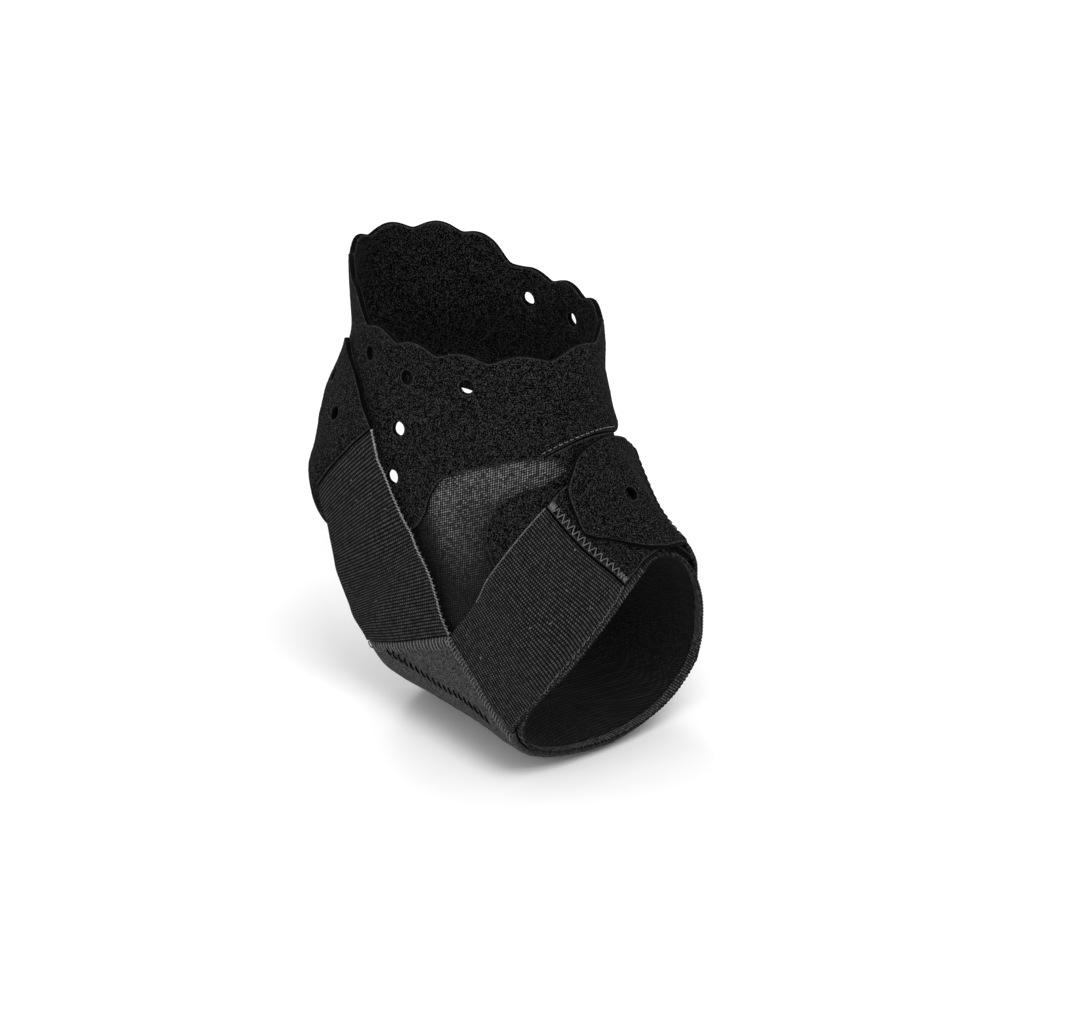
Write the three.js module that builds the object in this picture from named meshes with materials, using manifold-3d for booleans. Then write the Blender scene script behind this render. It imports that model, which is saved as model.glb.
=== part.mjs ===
// A plantar fasciitis brace for a right foot, in the form that it takes when it is worn.
// Lengths are in millimetres. The origin is the middle of the ankle, +X points to the toes,
// +Y to the inner side of the foot and +Z up the leg.

import * as THREE from 'three';
import { mergeVertices } from 'three/addons/utils/BufferGeometryUtils.js';
import Module from 'manifold-3d';

const wasm = await Module();
wasm.setup();

// Size of the foot that the brace is wrapped on
const ANKLE_DEPTH = 84.5; // front to back of the leg at its narrowest
const ANKLE_WIDTH = 64; // side to side of the leg at its narrowest

// Sizes of the cloth
const KNIT_THICKNESS = 1.0; // sheer knitted sleeve
const VELOUR_THICKNESS = 2.0; // cuff, tongue and the four closing tabs
const ELASTIC_THICKNESS = 1.5; // woven elastic straps
const PAD_THICKNESS = 2.4; // knitted pad under the arch
const LAYER_GAP = 0.36; // room between two layers, and between two edges that are sewn together
const DRAPE = 10; // length over which a layer climbs onto the edge of the one below
const DRAPE_MARGIN = 2; // how far outside that edge it has already climbed

// Sizes of the outlines
const CUFF_TOP = 49; // height of the cuff's upper edge in front, above the origin
const HEEL_RISE = 12; // how much higher that edge stands at the back
const SCALLOP_DEPTH = 2.8; // from crest to valley of the wavy upper edge
const SCALLOPS = 15; // waves in the whole upper edge
const HEM_WIDTH = 3.5;
const HOLE_DIAMETER = 4.4; // punched holes of the cuff and the tabs
const FRONT_STRAP_WIDTH = 40; // from its rear edge to its front edge
const REAR_STRAP_WIDTH = 36;
const DRAWN_FRONT_STRAP_WIDTH = 40; // what the tables of outlines below are drawn for
const DRAWN_REAR_STRAP_WIDTH = 36;

// Fineness of the facets
const CUFF_COLUMNS = 60;
const SLEEVE_COLUMNS = 50;
const BAND_ROWS = 9;
const TONGUE_COLUMNS = 18;
const TONGUE_CELLS = 12;
const FACET = 5.5;
const PAD_FACET = 4.2; // the pad bends more sharply at the edges of the sole
const HOLE_SIDES = 8;

// Form of the foot
// A fan of sections turns about a line above the instep: turn 0 is level and looks at the leg,
// turn 90 stands upright across the foot, and each unit past 90 is one step further ahead.
// Around a section, round 0 is the front of the leg or the top of the foot, 90 the outer side,
// 180 the heel or the sole and 270 the inner side.
const FAN_AHEAD = 0.994 * ANKLE_DEPTH;
const FAN_UP = 0.793 * ANKLE_DEPTH;
const STEP_AHEAD = 0.01183 * ANKLE_DEPTH;
const LEAN_FROM = 0.142 * ANKLE_DEPTH; // the leg leans above this height
const LEAN_AHEAD = 0.035;
const LEAN_INWARD = 0.07;

// near and far: distance from the fan's line to the front and the back, as shares of ANKLE_DEPTH.
// outer, inner and ridge: half widths and the sideways shift of the top, as shares of ANKLE_WIDTH.
// egg: how much wider the front is than the back. flat: 1 is round, less is a flatter back or sole.
const SECTIONS = table(['turn', 'near', 'far', 'outer', 'inner', 'ridge', 'egg', 'flat'], [
  [-60, 0.544, 1.604, 0.555, 0.547, 0.000, 0.14, 1.00],
  [0, 0.521, 1.500, 0.492, 0.508, 0.000, 0.16, 1.00],
  [15, 0.497, 1.545, 0.484, 0.508, 0.000, 0.14, 1.00],
  [28, 0.495, 1.850, 0.516, 0.547, 0.000, 0.08, 0.95],
  [38, 0.507, 2.243, 0.569, 0.570, 0.000, 0.00, 0.90],
  [46, 0.547, 2.314, 0.580, 0.570, 0.000, -0.02, 0.85],
  [54, 0.612, 2.060, 0.544, 0.564, 0.016, -0.05, 0.75],
  [65, 0.728, 1.820, 0.542, 0.533, 0.047, -0.10, 0.66],
  [78, 0.850, 1.678, 0.570, 0.472, 0.078, -0.14, 0.58],
  [90, 0.940, 1.650, 0.610, 0.458, 0.109, -0.16, 0.54],
  [116, 1.118, 1.680, 0.680, 0.510, 0.109, -0.14, 0.54],
]);

// Ankle bones stand out and the hollows beside the tendon go in. Heights are shares of ANKLE_WIDTH.
const BUMPS = table(['turn', 'round', 'turnSpan', 'roundSpan', 'height'], [
  [37, 98, 9, 22, 0.07],
  [34, 262, 9, 22, 0.07],
  [20, 142, 12, 20, -0.06],
  [20, 218, 12, 20, -0.06],
]);

// Outlines, as turn and round on the form. Those with no sign are the same on both sides.
const CUFF_RISE = table(['round', 'share'], [
  [0, 0.00], [90, 0.08], [100, 0.08], [108, 0.25], [116, 0.60], [130, 0.92], [150, 1.00], [180, 1.00],
]);
const SEAM_TURN = 56.3; // the seam between cuff and tongue over the instep
const CUFF_FOOT = table(['round', 'turn'], [
  [0, SEAM_TURN], [24, SEAM_TURN], [32, 53.8], [39, 51.4], [45.5, 49.0], [52, 47.2], [56, 46.6],
  [61.5, 47.8], [67, 49.6], [71.5, 50.2], [77, 49.6], [84, 47.4], [90, 44.5], [95, 40.8],
  [98.5, 36.5], [103.5, 34.2], [110, 32.4], [116, 30.4], [126, 28.9], [146, 27.5], [180, 26.5],
]);
const SLEEVE_TOP = table(['round', 'turn'], [
  [0, 52.5], [20, 51], [40, 46], [55, 42], [65, 43.5], [73, 47.5], [80, 52], [88, 58],
  [95, 61], [105, 62], [120, 61.5], [150, 60.5], [180, 60.5],
]);
const SLEEVE_FRONT = table(['round', 'turn'], [
  [-180, 85.2], [-150, 85.0], [-125, 84.8], [-106, 85.2], [-92, 86.0], [-78, 86.4], [-62, 86.6],
  [-46, 87.0], [-34, 87.4], [-22, 87.9], [-12, 88.2], [0, 88.9], [10, 90.6], [22, 92.8], [37, 94.8],
  [48, 95.5], [61, 95.1], [77, 92.8], [90, 89.1], [104, 85.6], [125, 84.8], [150, 85.0], [180, 85.2],
]);
const TONGUE_ROWS = table(['centre', 'turn', 'round'], [
  [56.3, 56.3, 23.0], [58.5, 58.2, 18.0], [60.2, 60.3, 14.6], [61.4, 61.6, 12.8], [62.4, 62.2, 17.0],
  [63.2, 62.2, 24.0], [64.3, 61.3, 31.0], [65.4, 59.9, 38.4], [66.6, 58.9, 44.0], [68.0, 58.8, 48.5],
  [69.7, 59.5, 52.6], [71.5, 60.9, 56.7], [73.5, 63.0, 60.2], [75.5, 65.5, 62.3], [78.0, 69.5, 64.0],
  [80.5, 74.5, 63.0], [83.0, 80.0, 59.0], [85.0, 84.2, 52.0], [86.5, 86.5, 44.0],
]);

const PAD_CORNER = [66.9, 93.3]; // where the two straps of a side meet on the pad
const PAD_HEEL_CORNER = [54.3, 120.8];
const PAD_TOE_CORNER = [84.1, 110.4];
const PAD_REAR_SEAM = [PAD_HEEL_CORNER, [59.3, 108.4], PAD_CORNER];
const PAD_FRONT_SEAM = [PAD_CORNER, [70.4, 95.3], [75.0, 98.9], [79.3, 103.7], PAD_TOE_CORNER];
const PAD_REAR_EDGE = [PAD_HEEL_CORNER, [55.6, 128], [57.0, 145], [57.7, 162], [58, 180]];
const PAD_FRONT_EDGE = [PAD_TOE_CORNER, [83.9, 122], [83.9, 142], [84.1, 160], [84.4, 180]];

const REAR_STRAP_REAR = [
  PAD_HEEL_CORNER, [51.8, 110.6], [49.8, 103.0], [47.1, 97.4], [43.4, 94.0], [39.6, 92.6], [36.2, 92.9],
];
const REAR_STRAP_FRONT = [
  PAD_CORNER, [64.4, 91.2], [62.2, 88.7], [59.5, 83.8], [56.9, 80.8], [53.2, 77.6], [49.5, 72.6],
  [46.1, 70.5], [42.1, 71.2], [38.2, 72.4], [34.6, 74.9], [31.0, 79.2],
];
const REAR_TAB_REAR = [[36.2, 92.9], [31.8, 100.3], [28.6, 110.5], [25.2, 119.5], [23.8, 129], [22.6, 137]];
const REAR_TAB_FRONT = [[31.0, 79.2], [27.3, 86.2], [23.7, 93.4], [20.3, 102.9], [17.6, 114.8]];
const REAR_TAB_END = [[22.6, 137], [20.2, 141], [17.6, 138.5], [16.3, 130], [16.4, 121], [17.6, 114.8]];

const FRONT_STRAP_REAR = [
  PAD_CORNER, [67.8, 86.0], [68.2, 73.7], [67.9, 60.0], [67.2, 46.5], [66.0, 31.4],
];
const FRONT_STRAP_FRONT = [
  PAD_TOE_CORNER, [87.6, 93.0], [91.6, 80.5], [94.3, 63], [94.8, 47], [93.6, 34], [91.8, 25.6],
];
const OUTER_TAB_REAR = [[66.0, 31.4], [64.4, 19], [63.8, 8], [64.5, -3]];
const OUTER_TAB_FRONT = [[91.8, 25.6], [90.0, 13], [89.2, 4], [88.8, -2]];
const OUTER_TAB_END = [[64.5, -3], [68.5, -9], [76, -12], [84, -9], [88.8, -2]];

const INNER_STRAP_REAR = [...mirrored([PAD_CORNER]), [65.2, -76], [62.2, -58], [59.4, -42]];
const INNER_STRAP_FRONT = [
  ...mirrored([PAD_TOE_CORNER]), [84.3, -90.5], [83.9, -75], [83.6, -58], [84.6, -40],
];
const INNER_TAB_REAR = [[59.4, -42], [57.5, -24], [57.0, -9], [57.5, 0]];
const INNER_TAB_FRONT = [
  [84.6, -40], [87.0, -28], [89.0, -16], [89.6, -6], [88.4, 3], [85.6, 9.5], [81.9, 15.8],
];
const INNER_TAB_END = [
  [57.5, 0], [58.8, 9], [63.9, 17.8], [65.6, 20.2], [71.4, 22.6], [76.5, 24.2], [78.8, 21.6], [81.9, 15.8],
];

// Punched holes, as turn and round on the form
const CUFF_HOLES = [[17.0, 98.8], [22.0, 73.3], [27.7, 46.3], [32.3, 70.4], [40.3, 71.2]];
const REAR_TAB_HOLES = [[27.2, 100.5], [22.0, 121.5]];
const INNER_TAB_HOLES = [[73.2, -8.0]];

function table(names, rows) {
  return rows.map((row) => Object.fromEntries(names.map((name, i) => [name, row[i]])));
}

function smooth(x) {
  const s = Math.min(Math.max(x, 0), 1);
  return s * s * (3 - 2 * s);
}

// A smooth curve through the points of xs and ys that never swings past them
function monotone(xs, ys) {
  const last = xs.length - 1;
  const span = xs.slice(1).map((x, i) => x - xs[i]);
  const rise = span.map((dx, i) => (ys[i + 1] - ys[i]) / dx);
  const slope = ys.map((y, i) => {
    if (i === 0) return rise[0];
    if (i === last) return rise[last - 1];
    if (rise[i - 1] * rise[i] <= 0) return 0;
    const a = 2 * span[i] + span[i - 1];
    const b = span[i] + 2 * span[i - 1];
    return (a + b) / (a / rise[i - 1] + b / rise[i]);
  });
  return (x) => {
    let i = 0;
    while (i < last - 1 && x > xs[i + 1]) i += 1;
    const s = Math.min(Math.max((x - xs[i]) / span[i], 0), 1);
    const h = span[i];
    return ys[i] * (1 + 2 * s) * (1 - s) ** 2 + slope[i] * h * s * (1 - s) ** 2
      + ys[i + 1] * (3 - 2 * s) * s * s + slope[i + 1] * h * (s - 1) * s * s;
  };
}

function column(rows, by, name) {
  return monotone(rows.map((row) => row[by]), rows.map((row) => row[name]));
}

const near = column(SECTIONS, 'turn', 'near');
const far = column(SECTIONS, 'turn', 'far');
const outer = column(SECTIONS, 'turn', 'outer');
const inner = column(SECTIONS, 'turn', 'inner');
const ridge = column(SECTIONS, 'turn', 'ridge');
const egg = column(SECTIONS, 'turn', 'egg');
const flat = column(SECTIONS, 'turn', 'flat');

// The signed difference of two rounds, from -180 to 180
function roundBetween(a, b) {
  return THREE.MathUtils.euclideanModulo(a - b + 180, 360) - 180;
}

// A point of the bare foot
function skin(turn, round) {
  const angle = THREE.MathUtils.degToRad(round);
  const cos = Math.cos(angle);
  const sin = Math.sin(angle);
  const along = cos >= 0 ? cos : -((-cos) ** flat(turn));
  const middle = (near(turn) + far(turn)) / 2 * ANKLE_DEPTH;
  const half = (far(turn) - near(turn)) / 2 * ANKLE_DEPTH;
  const side = (sin >= 0 ? outer(turn) : inner(turn)) * ANKLE_WIDTH;
  let r = -half * along;
  let y = -side * sin * (1 + egg(turn) * along) + ridge(turn) * ANKLE_WIDTH * cos / 2;
  const reach = Math.hypot(r, y);
  for (const bump of BUMPS) {
    const a = (turn - bump.turn) / bump.turnSpan;
    const b = roundBetween(round, bump.round) / bump.roundSpan;
    const height = bump.height * ANKLE_WIDTH * Math.exp(-a * a - b * b);
    r += height * r / reach;
    y += height * y / reach;
  }
  y += ridge(turn) * ANKLE_WIDTH / 2;
  const fan = THREE.MathUtils.degToRad(THREE.MathUtils.clamp(turn, 0, 90));
  const x = FAN_AHEAD + Math.max(turn - 90, 0) * STEP_AHEAD - Math.cos(fan) * (middle + r);
  const z = FAN_UP + Math.max(-turn, 0) * STEP_AHEAD - Math.sin(fan) * (middle + r);
  const lean = Math.max(z - LEAN_FROM, 0);
  return new THREE.Vector3(x + LEAN_AHEAD * lean, y + LEAN_INWARD * lean, z);
}

const PROBE = 0.25; // degrees on each side of a point where slopes are measured

function alongTurn(turn, round) {
  return skin(turn + PROBE, round).sub(skin(turn - PROBE, round)).divideScalar(2 * PROBE);
}

function alongRound(turn, round) {
  return skin(turn, round + PROBE).sub(skin(turn, round - PROBE)).divideScalar(2 * PROBE);
}

function outward(turn, round) {
  return alongRound(turn, round).cross(alongTurn(turn, round)).normalize();
}

// A point that lies the given height above the skin
function over(turn, round, height) {
  return skin(turn, round).addScaledVector(outward(turn, round), height);
}

// Curves on the form
// A path is a function of a share from 0 to 1 that gives a turn and a round.
function path(points) {
  const steps = [0];
  for (let i = 1; i < points.length; i += 1) {
    const gap = skin(...points[i]).distanceTo(skin(...points[i - 1]));
    steps.push(steps[i - 1] + gap);
  }
  const shares = steps.map((step) => step / steps.at(-1));
  const turn = monotone(shares, points.map((point) => point[0]));
  const round = monotone(shares, points.map((point) => point[1]));
  return (share) => [turn(share), round(share)];
}

function mirrored(points) {
  return points.map(([turn, round]) => [turn, -round]);
}

// A point moved by millimetres along the turn and the round
function moved([turn, round], byTurn, byRound) {
  const perTurn = alongTurn(turn, round).length();
  const perRound = alongRound(turn, round).length();
  return [turn + byTurn / perTurn, round + byRound / perRound];
}

// The path that runs beside another one, to its left by the given distance
function beside(curve, distance) {
  const reach = 0.01;
  return (share) => {
    const here = curve(share);
    const [turnA, roundA] = curve(Math.max(share - reach, 0));
    const [turnB, roundB] = curve(Math.min(share + reach, 1));
    const dTurn = (turnB - turnA) * alongTurn(...here).length();
    const dRound = (roundB - roundA) * alongRound(...here).length();
    const length = Math.hypot(dTurn, dRound);
    return moved(here, -distance * dRound / length, distance * dTurn / length);
  };
}

// The same path with its ends brought to two given points
function joined(curve, first, last) {
  const startOff = first.map((value, i) => value - curve(0)[i]);
  const endOff = last.map((value, i) => value - curve(1)[i]);
  return (share) => curve(share).map((value, i) => value + startOff[i] * (1 - share) + endOff[i] * share);
}

// A field spanned between a rear and a front edge, and the start and end that join them
function field(rear, front, start, end) {
  const a = joined(rear, start(0), end(0));
  const b = joined(front, start(1), end(1));
  return (u, v) => [0, 1].map((i) => {
    const across = (1 - v) * a(u)[i] + v * b(u)[i];
    const along = (1 - u) * start(v)[i] + u * end(v)[i];
    const startCorners = (1 - v) * start(0)[i] + v * start(1)[i];
    const endCorners = (1 - v) * end(0)[i] + v * end(1)[i];
    return across + along - (1 - u) * startCorners - u * endCorners;
  });
}

// The front edge of a strap, moved so that the strap has its named width
function strapFront(rearPoints, frontPoints, share) {
  const rear = path(rearPoints);
  const front = path(frontPoints);
  return (u) => rear(u).map((value, i) => value + (front(u)[i] - value) * share);
}

// The points of a field's outline, as a closed loop
function outline(spot) {
  const samples = 24;
  const loop = [];
  for (let i = 0; i < samples; i += 1) loop.push(spot(i / samples, 0));
  for (let i = 0; i < samples; i += 1) loop.push(spot(1, i / samples));
  for (let i = samples; i > 0; i -= 1) loop.push(spot(i / samples, 1));
  for (let i = samples; i > 0; i -= 1) loop.push(spot(0, i / samples));
  return loop;
}

// How much of a layer is climbed at a point: 1 inside its outline and 0 beyond the drape
function climbed(loop, turn, round) {
  const perTurn = alongTurn(turn, round).length();
  const perRound = alongRound(turn, round).length();
  const flatLoop = loop.map(([t, r]) => [(t - turn) * perTurn, (r - round) * perRound]);
  let nearest = Infinity;
  let inside = false;
  flatLoop.forEach(([x2, y2], i) => {
    const [x1, y1] = flatLoop.at(i - 1);
    const [dx, dy] = [x2 - x1, y2 - y1];
    const along = THREE.MathUtils.clamp(-(x1 * dx + y1 * dy) / (dx * dx + dy * dy), 0, 1);
    nearest = Math.min(nearest, Math.hypot(x1 + along * dx, y1 + along * dy));
    if ((y1 > 0) !== (y2 > 0) && x1 - y1 * dx / dy > 0) inside = !inside;
  });
  return inside ? 1 : smooth(1 - (nearest - DRAPE_MARGIN) / DRAPE);
}

// Closed sheets
// A sheet is a grid of cells with an inner and an outer face, and a rim around its free edges.
function sheet(columns, rows, ring, place) {
  const across = rows + 1;
  const around = ring ? columns : columns + 1;
  const points = [];
  for (const side of [0, 1]) {
    for (let i = 0; i < around; i += 1) {
      for (let j = 0; j < across; j += 1) {
        points.push(place(i / columns, j / rows, side));
      }
    }
  }
  const at = (side, i, j) => (side * around + i % around) * across + j;
  const faces = [];
  const quad = (a, b, c, d) => {
    const shorter = points[a].distanceTo(points[c]) <= points[b].distanceTo(points[d]);
    faces.push(...(shorter ? [a, b, c, a, c, d] : [a, b, d, b, c, d]));
  };
  for (let i = 0; i < columns; i += 1) {
    for (let j = 0; j < rows; j += 1) {
      quad(at(1, i, j), at(1, i + 1, j), at(1, i + 1, j + 1), at(1, i, j + 1));
      quad(at(0, i, j), at(0, i, j + 1), at(0, i + 1, j + 1), at(0, i + 1, j));
    }
    quad(at(0, i, 0), at(0, i + 1, 0), at(1, i + 1, 0), at(1, i, 0));
    quad(at(1, i, rows), at(1, i + 1, rows), at(0, i + 1, rows), at(0, i, rows));
  }
  for (let j = 0; j < rows && !ring; j += 1) {
    quad(at(0, 0, j + 1), at(0, 0, j), at(1, 0, j), at(1, 0, j + 1));
    quad(at(0, columns, j), at(0, columns, j + 1), at(1, columns, j + 1), at(1, columns, j));
  }
  return facedOut(points, faces);
}

// The geometry of the faces, turned over if they enclose a negative volume
function facedOut(points, faces) {
  let volume = 0;
  for (let i = 0; i < faces.length; i += 3) {
    const [a, b, c] = [points[faces[i]], points[faces[i + 1]], points[faces[i + 2]]];
    volume += a.dot(new THREE.Vector3().crossVectors(b, c));
  }
  const geometry = new THREE.BufferGeometry().setFromPoints(points);
  geometry.setIndex(volume < 0 ? faces.toReversed() : faces);
  return geometry;
}

// A sheet over a field, which starts at the height that seat gives and has the given thickness
function cloth(spot, seat, thickness, facet = FACET) {
  const reach = (u1, v1, u2, v2) => skin(...spot(u1, v1)).distanceTo(skin(...spot(u2, v2)));
  const long = reach(0, 0.5, 0.5, 0.5) + reach(0.5, 0.5, 1, 0.5);
  const wide = reach(0.5, 0, 0.5, 0.5) + reach(0.5, 0.5, 0.5, 1);
  const columns = Math.max(Math.round(long / facet), 3);
  const rows = Math.max(Math.round(wide / facet), 3);
  return sheet(columns, rows, false, (u, v, side) => {
    const [turn, round] = spot(u, v);
    return over(turn, round, seat(turn, round, u) + side * thickness);
  });
}

// A sheet around the whole form, between two edges that give a turn for each round.
// Its columns are evenly spaced along the form at the level turn.
function band(columns, rows, level, top, foot, seat, thickness) {
  const step = 5;
  const loop = path(Array.from({ length: 360 / step + 1 }, (_, i) => [level, step * i - 180]));
  return sheet(columns, rows, true, (u, v, side) => {
    const round = loop(u)[1];
    const turn = top(round) + v * (foot(round) - top(round));
    return over(turn, round, seat(turn, round) + side * thickness);
  });
}

function solid(geometry) {
  const bare = geometry.clone();
  bare.deleteAttribute('normal');
  bare.deleteAttribute('uv');
  const merged = mergeVertices(bare, 1e-4);
  return new wasm.Manifold(new wasm.Mesh({
    numProp: 3,
    vertProperties: new Float32Array(merged.attributes.position.array),
    triVerts: new Uint32Array(merged.index.array),
  }));
}

// The geometry with round holes punched through it along the skin's normal
function punched(geometry, holes) {
  const depth = 8 * VELOUR_THICKNESS;
  let body = solid(geometry);
  for (const [turn, round] of holes) {
    const punch = new THREE.CylinderGeometry(HOLE_DIAMETER / 2, HOLE_DIAMETER / 2, depth, HOLE_SIDES);
    const up = new THREE.Vector3(0, 1, 0);
    punch.applyQuaternion(new THREE.Quaternion().setFromUnitVectors(up, outward(turn, round)));
    punch.translate(...over(turn, round, 2 * VELOUR_THICKNESS));
    body = body.subtract(solid(punch));
  }
  const mesh = body.getMesh();
  const result = new THREE.BufferGeometry();
  result.setAttribute('position', new THREE.BufferAttribute(new Float32Array(mesh.vertProperties), 3));
  result.setIndex(new THREE.BufferAttribute(new Uint32Array(mesh.triVerts), 1));
  return result;
}

const VELOUR = { color: 0x1b1b1d, roughness: 0.95, metalness: 0 };
const ELASTIC = { color: 0x232325, roughness: 0.8, metalness: 0 };
const PAD_KNIT = { color: 0x303033, roughness: 0.9, metalness: 0 };
const SHEER_KNIT = { color: 0x2a2a2c, roughness: 0.85, metalness: 0 };

const brace = new THREE.Group();

function add(name, geometry, finish) {
  const faceted = geometry.toNonIndexed();
  faceted.computeVertexNormals();
  const mesh = new THREE.Mesh(mergeVertices(faceted), new THREE.MeshStandardMaterial(finish));
  mesh.name = name;
  brace.add(mesh);
}

// Heights of the layers above the skin
const OVER_SLEEVE = KNIT_THICKNESS + LAYER_GAP;
const OVER_CUFF = VELOUR_THICKNESS + 2 * LAYER_GAP;
const OVER_BOTH = OVER_SLEEVE + VELOUR_THICKNESS + LAYER_GAP;
const PAD_SEAT = OVER_SLEEVE + LAYER_GAP / 2; // the pad is stiffer and spans the sleeve's small hollows
const FLUSH_WITH_PAD = PAD_SEAT + PAD_THICKNESS - ELASTIC_THICKNESS;

// Edges that run all the way round
const cuffFootAt = column(CUFF_FOOT, 'round', 'turn');
const cuffRiseAt = column(CUFF_RISE, 'round', 'share');
const sleeveTopAt = column(SLEEVE_TOP, 'round', 'turn');
const sleeveFrontAt = column(SLEEVE_FRONT, 'round', 'turn');

// The scalloped line, from 0 on a crest down to nearly -1 in a valley. The round is evened out
// because a unit of it is longer at the front and the back than on the sides.
function wave(round) {
  const stretch = 5;
  const firstValley = 3.3;
  const valleyRounding = 0.25;
  const evened = round - stretch * Math.sin(2 * THREE.MathUtils.degToRad(round));
  const phase = THREE.MathUtils.degToRad((evened + firstValley) * SCALLOPS / 2);
  return Math.hypot(Math.cos(phase), valleyRounding) - 1;
}

// The turn at which the cuff's surface is as high as its wavy upper edge
function cuffTop(round) {
  const goal = CUFF_TOP + HEEL_RISE * cuffRiseAt(Math.abs(round)) + SCALLOP_DEPTH * wave(round);
  let [high, low] = [-20, SEAM_TURN];
  for (let i = 0; i < 20; i += 1) {
    const middle = (high + low) / 2;
    if (skin(middle, round).z > goal) high = middle;
    else low = middle;
  }
  return high;
}

function cuffFoot(round) {
  const turn = cuffFootAt(Math.abs(round));
  return turn - LAYER_GAP / 2 / alongTurn(turn, round).length();
}

function behindFront(distance) {
  return (round) => {
    const turn = sleeveFrontAt(round);
    return turn - distance / alongTurn(turn, round).length();
  };
}

const sleeveTop = (round) => sleeveTopAt(Math.abs(round));

// The sleeve and its hem are knitted in one, with the hem as a denser band at the front
function meshSleeve() {
  const level = 80;
  const bare = () => 0;
  const knit = (rows, top, foot) => band(SLEEVE_COLUMNS, rows, level, top, foot, bare, KNIT_THICKNESS);
  add('mesh_sleeve', knit(BAND_ROWS, sleeveTop, behindFront(HEM_WIDTH + LAYER_GAP)), SHEER_KNIT);
  add('front_hem', knit(1, behindFront(HEM_WIDTH), sleeveFrontAt), SHEER_KNIT);
}

function ankleCuff() {
  const level = 30;
  const seat = (turn, round) => {
    const beyond = (sleeveTop(round) - turn) * alongTurn(turn, round).length();
    return LAYER_GAP + KNIT_THICKNESS * smooth(1 - (beyond - DRAPE_MARGIN) / DRAPE);
  };
  const holes = [...CUFF_HOLES, ...mirrored(CUFF_HOLES)];
  const wrapped = band(CUFF_COLUMNS, BAND_ROWS, level, cuffTop, cuffFoot, seat, VELOUR_THICKNESS);
  add('ankle_cuff', punched(wrapped, holes), VELOUR);
}

// Each row of the tongue crosses the instep from one side edge to the other
function tongueField() {
  const shares = TONGUE_ROWS.map((row, i) => i / (TONGUE_ROWS.length - 1));
  const curve = (name) => monotone(shares, TONGUE_ROWS.map((row) => row[name]));
  const [centre, turn, round] = [curve('centre'), curve('turn'), curve('round')];
  return (u, v) => {
    const share = 2 * v - 1;
    const seam = u === 0 ? LAYER_GAP / 2 / alongTurn(SEAM_TURN, 0).length() : 0;
    return [centre(u) + (turn(u) - centre(u)) * Math.abs(share) ** 3 + seam, round(u) * share];
  };
}

const tongue = tongueField();
const tongueLoop = outline(tongue);
const overTongue = (turn, round) => (VELOUR_THICKNESS + LAYER_GAP) * climbed(tongueLoop, turn, round);

function instepTongue() {
  const geometry = sheet(TONGUE_COLUMNS, TONGUE_CELLS, false, (u, v, side) => {
    const [turn, round] = tongue(u, v);
    return over(turn, round, OVER_SLEEVE + side * VELOUR_THICKNESS);
  });
  add('instep_tongue', geometry, VELOUR);
}

// The pad crosses under the arch from the outer straps to the inner ones
function solePad() {
  const otherSide = (points) => points.map(([turn, round]) => [turn, 360 - round]);
  const whole = (points) => [...points, ...otherSide(points.slice(0, -1)).toReversed()];
  const rear = path(whole(PAD_REAR_EDGE));
  const front = path(whole([...PAD_FRONT_SEAM, ...PAD_FRONT_EDGE.slice(1)]));
  const spot = field(rear, front, path(PAD_REAR_SEAM), path(otherSide(PAD_REAR_SEAM)));
  add('sole_pad', cloth(spot, () => PAD_SEAT, PAD_THICKNESS, PAD_FACET), PAD_KNIT);
}

// A strap starts level with the pad and has settled on the layers below it after this share
const SETTLED = 0.25;

// side is 1 on the outer side of the foot and -1 on the inner side
function rearStrap(name, side) {
  const onSide = (points) => (side > 0 ? points : mirrored(points));
  const [rear, front] = [onSide(REAR_STRAP_REAR), onSide(REAR_STRAP_FRONT)];
  const start = beside(path(onSide(PAD_REAR_SEAM)), side * -LAYER_GAP);
  const end = beside(path([rear.at(-1), front.at(-1)]), side * LAYER_GAP / 2);
  const widened = REAR_STRAP_WIDTH / DRAWN_REAR_STRAP_WIDTH;
  const spot = field(path(rear), strapFront(rear, front, widened), start, end);
  const rise = OVER_BOTH - FLUSH_WITH_PAD;
  const seat = (turn, round, u) => FLUSH_WITH_PAD + rise * smooth(u / SETTLED);
  add(name, cloth(spot, seat, ELASTIC_THICKNESS), ELASTIC);
}

function rearTab(name, side) {
  const onSide = (points) => (side > 0 ? points : mirrored(points));
  const [rear, front] = [onSide(REAR_TAB_REAR), onSide(REAR_TAB_FRONT)];
  const start = beside(path([rear[0], front[0]]), side * -LAYER_GAP / 2);
  const spot = field(path(rear), path(front), start, path(onSide(REAR_TAB_END)));
  const seat = (turn, round, u) => OVER_BOTH + (OVER_CUFF - OVER_BOTH) * smooth(u / (2 * SETTLED));
  add(name, punched(cloth(spot, seat, VELOUR_THICKNESS), onSide(REAR_TAB_HOLES)), VELOUR);
}

const outerTabStart = beside(path([OUTER_TAB_REAR[0], OUTER_TAB_FRONT[0]]), -LAYER_GAP / 2);
const outerTabEnd = path(OUTER_TAB_END);
const outerTab = field(path(OUTER_TAB_REAR), path(OUTER_TAB_FRONT), outerTabStart, outerTabEnd);
const outerTabLoop = outline(outerTab);

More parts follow.
